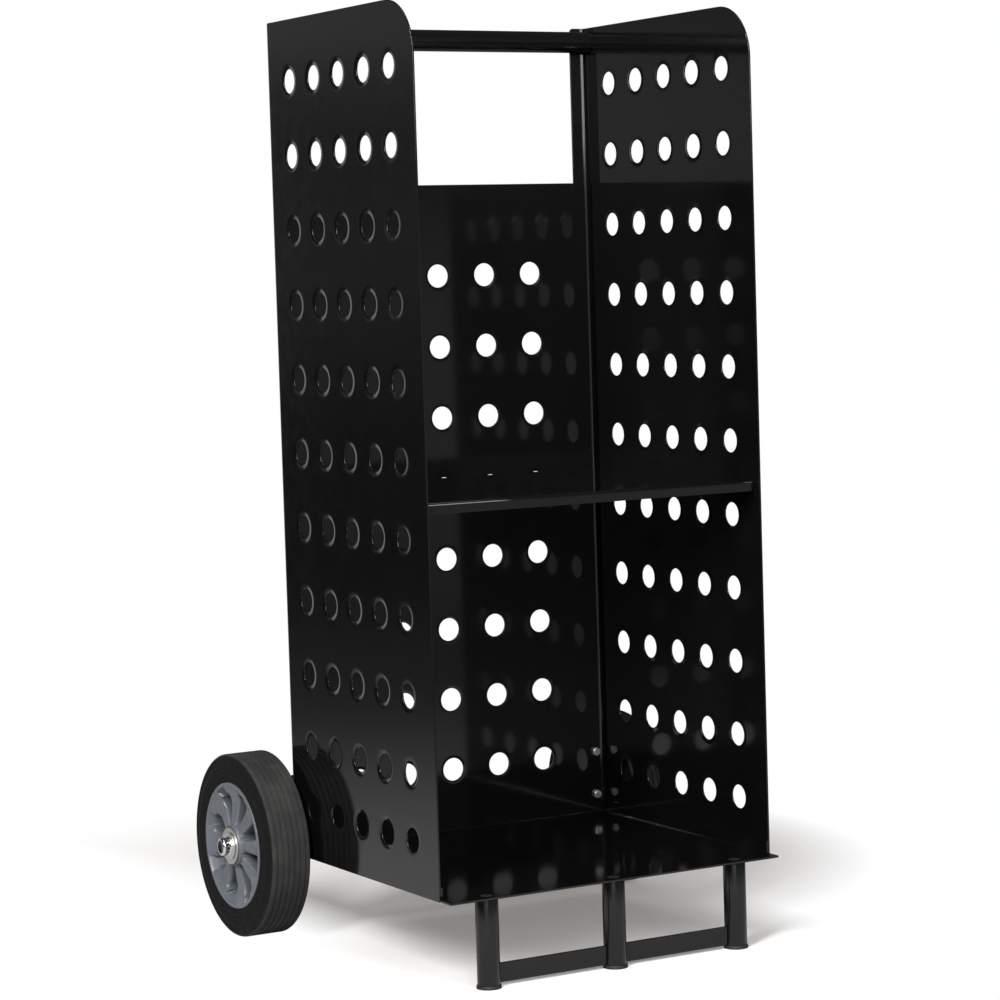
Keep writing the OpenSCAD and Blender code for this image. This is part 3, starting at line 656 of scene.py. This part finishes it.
def side_fold(u):
    """Middle plane of the right side panel: along its plate, round the bend and along its flange."""
    turn = np.clip((u - flat_len) / mid_r, 0, np.pi / 2)
    out = np.column_stack([np.cos(turn), np.sin(turn)])
    tangent = np.column_stack([-np.sin(turn), np.cos(turn)])
    along = np.minimum(u - flat_len, 0) + np.maximum(u - flat_len - bend_len, 0)
    centre = np.array([panel_hi.x - bend_out_r, panel_hi.y - bend_out_r])
    return centre + out * mid_r + tangent * along[:, None], tangent, out


def side_panel(name, sign):
    """A side panel with its dished holes, drawn flat and folded."""
    flange_start = flat_len + bend_len
    width = flange_start + flange_flat
    rows = [panel_hi.z - SIDE_TOP_MARGIN - r * ROW_PITCH for r in range(SIDE_ROWS)]
    rows.append(rows[-1] - LAST_ROW_PITCH)
    middle = (panel_hi.y - panel_lo.y) / 2
    holes = []
    for column, depth in enumerate(SIDE_DISH_DEPTHS):
        u = middle + ((SIDE_COLUMNS - 1) / 2 - column) * SIDE_PITCH
        holes += [((u, v), HOLE_R, SIDE_DISH_W, depth) for v in rows]

    def on_flange(x):
        """The flat sheet's u at that X of the flange."""
        return flange_start + (panel_hi.x - bend_out_r - x)

    for z in bolt_zs:
        holes.append(((on_flange(bolt_axis_x), z), BOLT_R + SCREW_CLEAR, 0.0, 0.0))
    holes.append(((on_flange(handle_screw_x), handle_z), SCREW_R + SCREW_CLEAR, 0.0, 0.0))
    folds = [flat_len + bend_len * k / BEND_STEPS for k in range(BEND_STEPS + 1)]
    radii = (SMALL_CORNER_R, SHARP_CORNER_R, FLANGE_CORNER_R, FRONT_CORNER_R)
    pattern = punched_sheet((0, panel_lo.z), (width, panel_hi.z), radii, holes, folds)
    points, normals = pattern.folded(side_fold)
    side = np.array([sign, 1, 1])
    new_piece(name + "_sheet", points * side, pattern.faces, "sheet_powder_coat", "frame", [name],
              normals * side)


def back_panel():
    """The flat back panel; its front face looks along -Y."""
    holes = []
    for c in range(BACK_COLUMNS):
        x = (c - (BACK_COLUMNS - 1) / 2) * BACK_PITCH
        for r in range(BACK_ROWS):
            z = back_hi.z - BACK_TOP_MARGIN - r * ROW_PITCH
            holes.append(((x, z), HOLE_R, BACK_DISH_W, BACK_DISH_DEPTH))
    for x in (-bolt_axis_x, bolt_axis_x):
        holes += [((x, z), BOLT_R + SCREW_CLEAR, 0.0, 0.0) for z in bolt_zs]
    radii = (SHARP_CORNER_R, SHARP_CORNER_R, SMALL_CORNER_R, SMALL_CORNER_R)
    pattern = punched_sheet((back_lo.x, back_lo.z), (back_hi.x, back_hi.z), radii, holes)
    middle_y = (back_lo.y + back_hi.y) / 2

    def flat(u):
        """The middle plane, which has no fold."""
        ones, zeros = np.ones(len(u)), np.zeros(len(u))
        point, tangent, out = (u, middle_y * ones), (ones, zeros), (zeros, -ones)
        return [np.column_stack(pair) for pair in (point, tangent, out)]

    points, normals = pattern.folded(flat)
    new_piece("back_panel_sheet", points, pattern.faces, "sheet_powder_coat", "frame", ["back_panel"],
              normals)


side_panel("right_side_panel", 1)
side_panel("left_side_panel", -1)
back_panel()

# ---- Bolts, nuts and screws ----
hex_angles = np.linspace(0, 2 * np.pi, HEX_SEGMENTS, endpoint=False)


def circle_ring(radius):
    """The radius of a circle at each of its segments."""
    return np.full(HEX_SEGMENTS, float(radius))


def round_rings(profile):
    """Rings (radii, along) of a plain turned profile of (radius, along) pairs."""
    return [(circle_ring(radius), along) for radius, along in profile]


def chamfered_hex(height, both_ends):
    """Rings (radii, along) of a hexagon from its seat to its top, with its corners chamfered."""
    flat_r = hex_r * math.cos(math.pi / 6)
    size = flat_r / np.cos((hex_angles % (math.pi / 3)) - math.pi / 6)
    face_r = flat_r * HEX_FACE_SHARE
    drop = (size - face_r) * math.tan(HEX_CHAMFER)
    low = [(circle_ring(face_r), 0.0), (size, drop)] if both_ends else [(size, 0.0)]
    return low + [(size, height - drop), (circle_ring(face_r), height)]


def along_y(rings, x, y, z, direction):
    """Points and faces of a closed stack of rings along Y; direction turns it to face front or back."""
    points = np.concatenate([
        np.column_stack([x + radii * np.sin(hex_angles), y + direction * np.broadcast_to(along, HEX_SEGMENTS),
                         z + radii * np.cos(hex_angles)])
        for radii, along in rings])
    return points, grid_faces(len(rings), HEX_SEGMENTS)


def joined(parts):
    """Points and faces of several parts as one."""
    points, faces = [], []
    for part_points, part_faces in parts:
        start = sum(len(p) for p in points)
        points.append(part_points)
        faces += [[i + start for i in face] for face in part_faces]
    return np.concatenate(points), faces


def bracket_bolts():
    """Bolts with chamfered heads and threaded tails, and their nuts."""
    tail = bolts_hi.y - back_lo.y
    thread_from = nuts_lo.y - back_lo.y
    thread = [(BOLT_R, -thread_from)]
    for k in range(int((tail - thread_from - THREAD_PITCH / 2) / THREAD_PITCH)):
        at = -thread_from - k * THREAD_PITCH
        thread += [(BOLT_R - THREAD_DEPTH, at - THREAD_PITCH / 2), (BOLT_R, at - THREAD_PITCH)]
    bolt = round_rings([(0, -tail), (BOLT_R - BOLT_TAPER, -tail)] + thread[::-1] + [(BOLT_R, 0.0)])
    bolt += chamfered_hex(BOLT_HEAD_H, False) + round_rings([(0, BOLT_HEAD_H)])
    nut_h = nuts_hi.y - nuts_lo.y
    nut = chamfered_hex(nut_h, True)
    nut += round_rings([(NUT_BORE_R + NUT_CHAMFER, nut_h), (NUT_BORE_R, nut_h - NUT_CHAMFER),
                        (NUT_BORE_R, NUT_CHAMFER), (NUT_BORE_R + NUT_CHAMFER, 0.0)])
    places = [(sign * bolt_axis_x, z) for sign in (-1, 1) for z in bolt_zs]
    points, faces = joined([along_y(bolt, x, back_lo.y, z, -1) for x, z in places])
    new_piece("bracket_bolts_detail", points, faces, "zinc_steel", "frame", ["bracket_bolts"], sharp=24)
    points, faces = joined([along_y(nut, x, nuts_lo.y, z, 1) for x, z in places])
    new_piece("bracket_nuts_detail", points, faces, "zinc_steel", "frame", ["bracket_nuts"], sharp=24)


def recess_share(across, along):
    """How deep one slot of the cross recess is at a point, from 0 to 1."""
    return (np.clip((RECESS_HALF_W - across) / RECESS_SIDE_SLOPE, 0, 1)
            * np.clip((RECESS_HALF_LEN - along) / RECESS_END_SLOPE, 0, 1))


def handle_screws():
    """Pan-head screws with cross recesses, seen behind the flanges."""
    length = panel_hi.y - screws_lo.y
    rings = round_rings([(0, -length), (SCREW_R - SCREW_TAPER, -length), (SCREW_R, SCREW_TAPER - length),
                         (SCREW_R, 0.0), (SCREW_HEAD_R, 0.0), (SCREW_HEAD_R, SCREW_RIM_H)])
    for radius in np.linspace(DOME_R, 0, DOME_RINGS):
        share = radius / DOME_R
        dome = SCREW_HEAD_H - DOME_EDGE_FALL * share ** 4 - DOME_CROWN_FALL * share ** 2
        x, z = np.abs(radius * np.sin(hex_angles)), np.abs(radius * np.cos(hex_angles))
        recess = np.maximum(recess_share(x, z), recess_share(z, x))
        rings.append((circle_ring(radius), dome - RECESS_DEPTH * recess))
    places = (-handle_screw_x, handle_screw_x)
    points, faces = joined([along_y(rings, x, panel_hi.y, handle_z, 1) for x in places])
    new_piece("handle_screws_detail", points, faces, "zinc_steel", "frame", ["handle_screws"], sharp=40)


bracket_bolts()
handle_screws()

# ---- Wheels ----


def tyre_profile():
    """Half of the tyre's section from the bead to the middle of the tread, then its mirror image."""
    half = [(HUB_SEAT_R, HUB_SEAT_HALF_W), (HUB_LIP_R, HUB_SEAT_HALF_W),
            (HUB_LIP_R + BEAD_GAP, wall_x - BEAD_ROUND), (HUB_LIP_R + BEAD_GAP + BEAD_ROUND, wall_x)]
    for k in range(WALL_RINGS):
        start = HUB_LIP_R + FIRST_WALL_RING + k * WALL_RING_PITCH
        end = start + WALL_RING_W
        half += [(start, wall_x), (start + WALL_RING_SLOPE, wall_x - WALL_RING_DEPTH),
                 (end - WALL_RING_SLOPE, wall_x - WALL_RING_DEPTH), (end, wall_x)]
    for share, hollow in WALL_HOLLOW:
        half.append((WALL_FLAT_R + (wheel_r - SHOULDER_R - WALL_FLAT_R) * share,
                     wall_x + (TREAD_HALF_W - wall_x) * share - hollow))
    for a in np.linspace(0, math.pi / 2, SHOULDER_STEPS + 1)[1:]:
        half.append((wheel_r - SHOULDER_R + SHOULDER_R * math.sin(a),
                     TREAD_HALF_W - SHOULDER_R + SHOULDER_R * math.cos(a)))
    pitch = 2 * (TREAD_HALF_W - SHOULDER_R) / GROOVES
    for k in range(GROOVES // 2):
        x = (GROOVES / 2 - 0.5 - k) * pitch
        half += [(wheel_r, x + GROOVE_TOP_W / 2), (wheel_r - GROOVE_DEPTH, x + GROOVE_FLOOR_W / 2),
                 (wheel_r - GROOVE_DEPTH, x - GROOVE_FLOOR_W / 2), (wheel_r, x - GROOVE_TOP_W / 2)]
    return half + [(r, -x) for r, x in half[::-1]]


def tyre(side, sign):
    """A solid rubber tyre with grooves round its tread and rings in its walls."""
    points, faces = turned(tyre_profile(), TYRE_SEGMENTS)
    points[:, 0] = sign * (points[:, 0] + wheel_x)
    new_piece(side + "_tyre_rubber", points, faces, "tyre_rubber", side + "_wheel", [side + "_tyre"],
              sharp=28)


def quarter(gap, radius):
    """How far a round fillet of that radius stands out at a gap from its wall."""
    return radius * (1 - math.sqrt(max(0.0, 1 - (1 - min(gap / radius, 1)) ** 2)))


def pocket_height(radius):
    """Height of a pocket: its floor, the fillet, the steep end wall and the cone up to the lip."""
    if radius <= POCKET_END_R:
        return WEB_TOP + quarter(POCKET_END_R - radius, SPOKE_FOOT_R)
    if radius <= CONE_FOOT_R:
        share = (radius - POCKET_END_R) / (CONE_FOOT_R - POCKET_END_R)
        return (WEB_TOP + SPOKE_FOOT_R) * (1 - share) + CONE_FOOT_X * share
    return CONE_FOOT_X + (radius - CONE_FOOT_R) / (LIP_IN_R - CONE_FOOT_R) * (LIP_OUT - CONE_FOOT_X)


def crest_height(radius):
    """Height of a spoke's middle: falling gently outwards, then sweeping up to the rim's lip."""
    share = (radius - BOSS_R) / (SWEEP_FROM_R - BOSS_R)
    level = SPOKE_TOP_IN + (SPOKE_TOP_OUT - SPOKE_TOP_IN) * min(max(share, 0), 1)
    sweep = max(0.0, (radius - SWEEP_FROM_R) / (SWEEP_TO_R - SWEEP_FROM_R))
    return level + (SPOKE_TOP_END - SPOKE_TOP_OUT) * sweep ** 2


def half_spoke(radius):
    """Angles and heights from the middle of a spoke to the middle of a pocket, at a radius."""
    share = min(max((radius - BOSS_R) / (POCKET_END_R - BOSS_R), 0), 1)
    half = SPOKE_HALF_IN + (SPOKE_HALF_OUT - SPOKE_HALF_IN) * share
    half += quarter(max(POCKET_END_R - radius, 0), SPOKE_FLARE_OUT)
    half += quarter(max(radius - BOSS_R, 0), SPOKE_FLARE_IN)
    edge_r = min(SPOKE_EDGE_R, SPOKE_EDGE_SHARE * half)
    floor_z, crest = pocket_height(radius), crest_height(radius)
    foot = min(SPOKE_FOOT_R, max(0.0, crest - edge_r - floor_z))
    offsets, heights = [0.0, 0.5 * (half - edge_r)], [crest, crest]
    for a in np.linspace(0, math.pi / 2, SPOKE_EDGE_STEPS + 1):
        offsets.append(half - edge_r * (1 - math.sin(a)))
        heights.append(crest - edge_r * (1 - math.cos(a)))
    for a in np.linspace(0, math.pi / 2, SPOKE_FOOT_STEPS + 1):
        offsets.append(half + SPOKE_DRAFT + SPOKE_FOOT_R * (1 - math.cos(a)))
        heights.append(floor_z + foot * (1 - math.sin(a)))
    reach = math.pi / SPOKES
    angles = [math.asin(o / radius) for o in offsets]
    last = min(angles[-1], reach * POCKET_REACH_SHARE)
    angles = [min(a, last - (len(angles) - 1 - i) * LEAST_TURN) for i, a in enumerate(angles)]
    angles += np.linspace(last, reach, POCKET_STEPS + 1)[1:].tolist()
    heights += [floor_z] * POCKET_STEPS
    return angles, [max(h, floor_z) for h in heights]


def hub_ring(radius):
    """Angles and heights all the way round the hub at a radius."""
    angles, heights = half_spoke(radius)
    around, up = [], []
    for s in range(SPOKES):
        middle = 2 * math.pi * s / SPOKES + SPOKE_TURN
        around += [middle - a for a in angles[::-1][:-1]] + [middle + a for a in angles[:-1]]
        up += heights[::-1][:-1] + heights[:-1]
    return np.array(around), np.array(up)


def hub_face(boss):
    """Rings of one face from the bore to the rim's lip: (radius, angles, heights)."""
    rings = []

    def plain(radius, height):
        """Adds a ring at one height."""
        angles = hub_ring(max(radius, BOSS_R))[0]
        rings.append((radius, angles, np.full(len(angles), height)))

    plain(BEARING_R, boss - BEARING_CHAMFER)
    plain(BEARING_R + BEARING_CHAMFER, boss)
    for past, depth in FLANGE_GROOVE:
        plain(BEARING_FLANGE_R + past, boss - depth)
    plain(BOSS_TOP_R - BOSS_ROUND_W, boss)
    plain(BOSS_TOP_R, boss - BOSS_ROUND)
    angles, up = hub_ring(BOSS_R)
    for share in BOSS_WALL_SHARES:
        radius = BOSS_TOP_R + (BOSS_R - BOSS_TOP_R) * share
        rings.append((radius, angles, (boss - BOSS_ROUND) * (1 - share) + (up + BOSS_FOOT) * share))
    for radius in np.concatenate([np.linspace(*band) for band in SPOKE_BANDS]):
        rings.append((radius, *hub_ring(radius)))
    for a in np.linspace(LIP_START, math.pi / 2, LIP_STEPS + 1):
        plain(LIP_IN_R + LIP_ROUND_R * (1 - math.cos(a)), LIP_OUT - LIP_ROUND_R * (1 - math.sin(a)))
    for a in np.linspace(0, math.pi / 2, LIP_STEPS + 1):
        plain(HUB_LIP_R - LIP_ROUND_R * (1 - math.sin(a)), LIP_OUT - LIP_ROUND_R * (1 - math.cos(a)))
    plain(HUB_LIP_R, HUB_SEAT_HALF_W)
    plain(HUB_SEAT_R, HUB_SEAT_HALF_W)
    return rings


def hub(side, sign):
    """A moulded hub: its two faces, joined under the tyre and through the bore."""
    plain_angles = hub_ring(BOSS_R)[0]
    bore = [(BEARING_R, -BOSS_IN + BEARING_SEAT), (HUB_BORE_R, -BOSS_IN + BEARING_SEAT),
            (HUB_BORE_R, BOSS_OUT - BEARING_SEAT), (BEARING_R, BOSS_OUT - BEARING_SEAT)]
    rings = hub_face(BOSS_OUT)
    rings += [(r, a, -up) for r, a, up in hub_face(BOSS_IN)[::-1]]
    rings += [(r, plain_angles, np.full(len(plain_angles), x)) for r, x in bore]
    points = np.concatenate([
        np.column_stack([sign * (wheel_x + up), axle_y + r * np.cos(a), axle_z + r * np.sin(a)])
        for r, a, up in rings])
    faces = grid_faces(len(rings), len(plain_angles))
    new_piece(side + "_hub_moulding", points, faces, "hub_plastic", side + "_wheel", [side + "_hub"],
              sharp=42)


def retaining_cap(side, sign):
    """The pressed chrome cap: a rim, a straight wall and a slightly hollow end."""
    lo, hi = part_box("right_retaining_cap")
    radius = (hi.z - lo.z) / 2
    bore, bore_end = axle_r + CAP_BORE_GAP, axle_hi.x + CAP_BORE_END_GAP
    profile = [(bore, lo.x)] + [(radius - inward, lo.x + along) for inward, along in CAP_RIM]
    wall_r, end = radius - CAP_WALL_IN, hi.x - CAP_END_IN
    for a in np.linspace(0, CAP_ROUND_TO, CAP_STEPS + 1):
        profile.append((wall_r - CAP_ROUND_R * (1 - math.cos(a)), end - CAP_ROUND_R * (1 - math.sin(a))))
    for share in np.linspace(1, 0, CAP_STEPS + 1)[1:]:
        profile.append(((wall_r - CAP_ROUND_R) * share, end - CAP_DISH * (1 - share ** 2)))
    profile += [(0, bore_end), (bore, bore_end)]
    points, faces = turned(profile, RING_SEGMENTS)
    points[:, 0] *= sign
    new_piece(side + "_retaining_cap_pressed", points, faces, "cap_chrome", "frame",
              [side + "_retaining_cap"])


for side, sign in (("left", -1), ("right", 1)):
    tyre(side, sign)
    hub(side, sign)
    retaining_cap(side, sign)

# ---- Finishes, and the edges of the CAD pieces that stay ----
EDGE_ROUNDING = {"middle_shelf": 0.5 * MM, "floor_tray": 0.5 * MM, "axle": 0.8 * MM, "leg_screws": 0.2 * MM}
for place in ("left", "centre", "right"):
    EDGE_ROUNDING.update({"leg_" + place: 0.3 * MM, "foot_cap_" + place: 0.5 * MM})
for side in ("left", "right"):
    EDGE_ROUNDING.update({"cross_bar_" + side: 0.6 * MM, "axle_bracket_" + side: 0.5 * MM,
                          side + "_inner_washer": 0.25 * MM, side + "_outer_washer": 0.25 * MM,
                          side + "_bearing_outer_races": 0.3 * MM})
WELD_GAP = 0.001 * MM
BEVEL_STEPS = 3
# Edges sharper than this are rounded
BEVEL_FROM = math.radians(35)


def finish_nodes():
    """Gives each CAD node the finish of its slot in the record, and softens its edges."""
    for part in frame["record"]["subparts"]:
        node = nodes[part["node"]]
        node.data.materials.clear()
        node.data.materials.append(MATERIALS[part["material_slot"]])
        width = EDGE_ROUNDING.get(part["node"])
        if width:
            node.modifiers.new("joined_points", "WELD").merge_threshold = WELD_GAP
            soft = node.modifiers.new("soft_edges", "BEVEL")
            soft.width, soft.segments = width, BEVEL_STEPS
            soft.limit_method, soft.angle_limit = "ANGLE", BEVEL_FROM
            soft.harden_normals = True


finish_nodes()

# ---- Camera ----
LENS = 108.9
CAMERA_AT = (-1.63899, -2.88910, 0.72375)
# Turn of the view from +Y towards +X, its fall below level, and its roll, in radians
AZIMUTH, ELEVATION, ROLL = 0.5185, 0.0678, -0.0304
SHIFT_X, SHIFT_Y = 0.0035, -0.0191


def camera():
    """The photograph's view."""
    data = bpy.data.cameras.new("camera")
    data.lens, data.shift_x, data.shift_y = LENS, SHIFT_X, SHIFT_Y
    data.clip_end = 50
    made = new_object("camera", data)
    ahead = Vector((math.sin(AZIMUTH) * math.cos(ELEVATION), math.cos(AZIMUTH) * math.cos(ELEVATION),
                    -math.sin(ELEVATION)))
    level = Vector((math.cos(AZIMUTH), -math.sin(AZIMUTH), 0))
    upright = level.cross(ahead)
    right = level * math.cos(ROLL) + upright * math.sin(ROLL)
    up = upright * math.cos(ROLL) - level * math.sin(ROLL)
    made.matrix_world = Matrix.Translation(CAMERA_AT) @ Matrix((right, up, -ahead)).transposed().to_4x4()
    bpy.context.scene.camera = made


# ---- Floor ----
FLOOR_R = 2.4
FLOOR_SEGMENTS = 96
FLOOR_COLOUR = (0.80, 0.785, 0.775, 1)
# Light that lifts the shadow to the photograph's level, for the camera alone
FLOOR_LIFT = 0.22
FLOOR_LIFT_COLOUR = (1, 0.95, 0.92, 1)
# The floor as the object mirrors it: its colour, and the distances between which it thins out
MIRRORED_FLOOR_COLOUR = (0.55, 0.54, 0.53, 1)
MIRRORED_FLOOR_FADE = (0.5, 2.3)
# The shadow fades out round a point, right of the body and beside the left wheel, each time from a first
# place to a second
SHADOW_CENTRE = (0.15, 0.15, 0)
SHADOW_FADE = (0.4, 0.8)
RIGHT_FADE_CENTRE = (0.15, 0.35, 0)
RIGHT_FADE = (0.36, 0.5)
RIGHT_FADE_X = (0.22, 0.31)
LEFT_FADE_X = (-0.09, -0.19)
LEFT_FADE_Y = (-0.05, 0.08)


def shadow_fade(tree, coords):
    """How far the floor has faded into white at a point, from 0 to 1."""
    fade = remap(tree, distance_from(tree, coords, SHADOW_CENTRE), SHADOW_FADE,
                 interpolation_type="SMOOTHSTEP")
    x, y = component(tree, coords, "X"), component(tree, coords, "Y")
    right = calculate(tree, "MULTIPLY", remap(tree, x, RIGHT_FADE_X),
                      remap(tree, distance_from(tree, coords, RIGHT_FADE_CENTRE), RIGHT_FADE))
    left = calculate(tree, "MULTIPLY", remap(tree, x, LEFT_FADE_X), remap(tree, y, LEFT_FADE_Y))
    return calculate(tree, "MAXIMUM", fade, calculate(tree, "MAXIMUM", right, left))


def emission(tree, colour, strength):
    """An emission shader."""
    return add_node(tree, "ShaderNodeEmission", {"Color": colour, "Strength": strength}).outputs["Emission"]


def mix_shader(tree, share, first, second):
    """Two shaders, mixed by a share from 0 to 1."""
    return add_node(tree, "ShaderNodeMixShader", {0: share, 1: first, 2: second}).outputs["Shader"]


def camera_ray(tree):
    """1 where the camera looks straight at it, and 0 for every other ray."""
    return add_node(tree, "ShaderNodeLightPath").outputs["Is Camera Ray"]


def floor():
    """A pale disc that keeps the shadow and fades into the white round it."""
    mesh = bpy.data.meshes.new("floor")
    disc = bmesh.new()
    bmesh.ops.create_circle(disc, cap_ends=True, radius=FLOOR_R, segments=FLOOR_SEGMENTS)
    disc.to_mesh(mesh)
    disc.free()
    made, tree, _ = node_material("floor")
    tree.nodes.clear()
    coords = object_coords(tree)
    matt = add_node(tree, "ShaderNodeBsdfDiffuse", {"Color": FLOOR_COLOUR}).outputs["BSDF"]
    lift = emission(tree, FLOOR_LIFT_COLOUR, FLOOR_LIFT)
    shown = add_node(tree, "ShaderNodeAddShader", {0: matt, 1: lift}).outputs["Shader"]
    seen = mix_shader(tree, shadow_fade(tree, coords), shown, emission(tree, (1, 1, 1, 1), 1.0))
    dim = add_node(tree, "ShaderNodeBsdfDiffuse", {"Color": MIRRORED_FLOOR_COLOUR}).outputs["BSDF"]
    clear = add_node(tree, "ShaderNodeBsdfTransparent").outputs["BSDF"]
    thin = remap(tree, distance_from(tree, coords, (0, 0, 0)), MIRRORED_FLOOR_FADE,
                 interpolation_type="SMOOTHSTEP")
    both = mix_shader(tree, camera_ray(tree), mix_shader(tree, thin, dim, clear), seen)
    add_node(tree, "ShaderNodeOutputMaterial", {"Surface": both})
    mesh.materials.append(made)
    piece = new_object("floor", mesh)


# ---- Studio: what the object mirrors, by the direction of the ray ----
# Grey levels as stops of (Z of the direction, level): low and high in the room, then its parts
STUDIO_LOW = [(-1, 0.20), (-0.20, 0.10), (-0.13, 0.08), (-0.10, 0.015), (-0.05, 0.02)]
STUDIO_HIGH = [(0.12, 0.18), (0.2, 0.07), (0.6, 0.05), (1, 0.06)]
# What the left panel mirrors
STUDIO_BEHIND = STUDIO_LOW + [(0.0, 0.08), (0.045, 0.07), (0.065, 0.12), (0.08, 0.24)] + STUDIO_HIGH
# What the right panel mirrors
STUDIO_BESIDE = STUDIO_LOW + [(0.0, 0.12), (0.035, 0.23), (0.066, 0.22), (0.085, 0.13)] + STUDIO_HIGH
# What the back panel mirrors by way of the right panel
STUDIO_FACING = [(-1, 0.05), (-0.3, 0.10), (-0.15, 0.6), (0.02, 0.6), (0.05, 1.3), (0.08, 2.0), (0.10, 0.2),
                 (1, 0.1)]
# What the edges and lips in front mirror
STUDIO_ASIDE = [(-1, 0.10), (-0.15, 0.10), (-0.08, 0.35), (0.0, 0.3), (0.04, 0.09), (1, 0.08)]
BACKDROP_LEVEL = 0.75
DARK_LEVEL = 0.01
# Where one part gives way to the next, as X or Y of the direction
BEHIND_TO_BESIDE_X = (-0.48, -0.51)
REAR_TO_BACKDROP_Y = (0.905, 0.935)
REAR_TO_DARK_X = (-0.57, -0.64)
DARK_SHARE = 0.85
ASIDE_TO_FACING_X = (-0.30, -0.42)
REAR_TO_FRONT_Y = (-0.4, -0.75)


def ramp_of(tree, value, stops):
    """A ramp of grey levels over values from -1 to 1, given as (value, level) stops."""
    made = add_node(tree, "ShaderNodeValToRGB", {0: remap(tree, value, (-1, 1))})
    elements = made.color_ramp.elements
    while len(elements) < len(stops):
        elements.new(0.5)
    for element, (at, level) in zip(elements, stops):
        element.position = (at + 1) / 2
        element.color = (level, level, level, 1)
    return made.outputs["Color"]


def background(tree, colour):
    """A background shader of full strength."""
    return add_node(tree, "ShaderNodeBackground", {"Color": colour, "Strength": 1.0}).outputs[0]


def studio_world():
    """White behind the object, and a dim studio round it: bands of light behind, dark at the sides."""
    world = bpy.data.worlds.new("studio")
    bpy.context.scene.world = world
    world.use_nodes = True
    tree = world.node_tree
    tree.nodes.clear()
    coords = add_node(tree, "ShaderNodeTexCoord").outputs["Generated"]
    x, y, z = (component(tree, coords, axis) for axis in "XYZ")
    rear = blend_colour(tree, remap(tree, x, BEHIND_TO_BESIDE_X), ramp_of(tree, z, STUDIO_BEHIND),
                        ramp_of(tree, z, STUDIO_BESIDE))
    rear = blend_colour(tree, remap(tree, y, REAR_TO_BACKDROP_Y), rear, [BACKDROP_LEVEL] * 3)
    rear = blend_colour(tree, remap(tree, x, REAR_TO_DARK_X, (0, DARK_SHARE)), rear, [DARK_LEVEL] * 3)
    ahead = blend_colour(tree, remap(tree, x, ASIDE_TO_FACING_X), ramp_of(tree, z, STUDIO_ASIDE),
                         ramp_of(tree, z, STUDIO_FACING))
    room = blend_colour(tree, remap(tree, y, REAR_TO_FRONT_Y), rear, ahead)
    both = mix_shader(tree, camera_ray(tree), background(tree, room), background(tree, (1, 1, 1, 1)))
    add_node(tree, "ShaderNodeOutputWorld", {"Surface": both})


# ---- Lights ----
# Softboxes: place, aim, width, height and power in watts
LIGHTS = {
    "key": ((-2.45, -1.75, 2.5), (0, 0, 0.5), 0.6, 1.7, 150),
    "fill": ((-1.85, -2.1, 1.4), (0.2, 0.1, 0.9), 0.7, 0.8, 11),
    "front": ((-0.25, -2.9, 1.75), (0, 0, 0.9), 2.2, 1.6, 66),
    "top": ((-0.3, -0.2, 2.9), (0, 0, 0.5), 1.6, 1.6, 16),
}


def soft_light(name, at, aim, width, height, watts):
    """A rectangular softbox aimed at a point."""
    data = bpy.data.lights.new(name, "AREA")
    data.shape, data.size, data.size_y = "RECTANGLE", width, height
    data.energy = watts
    made = new_object(name, data)
    made.location = at
    made.rotation_euler = (Vector(aim) - Vector(at)).to_track_quat("-Z", "Y").to_euler()


camera()
floor()
studio_world()
for name, values in LIGHTS.items():
    soft_light(name, *values)
bpy.context.scene.view_settings.view_transform = "Standard"
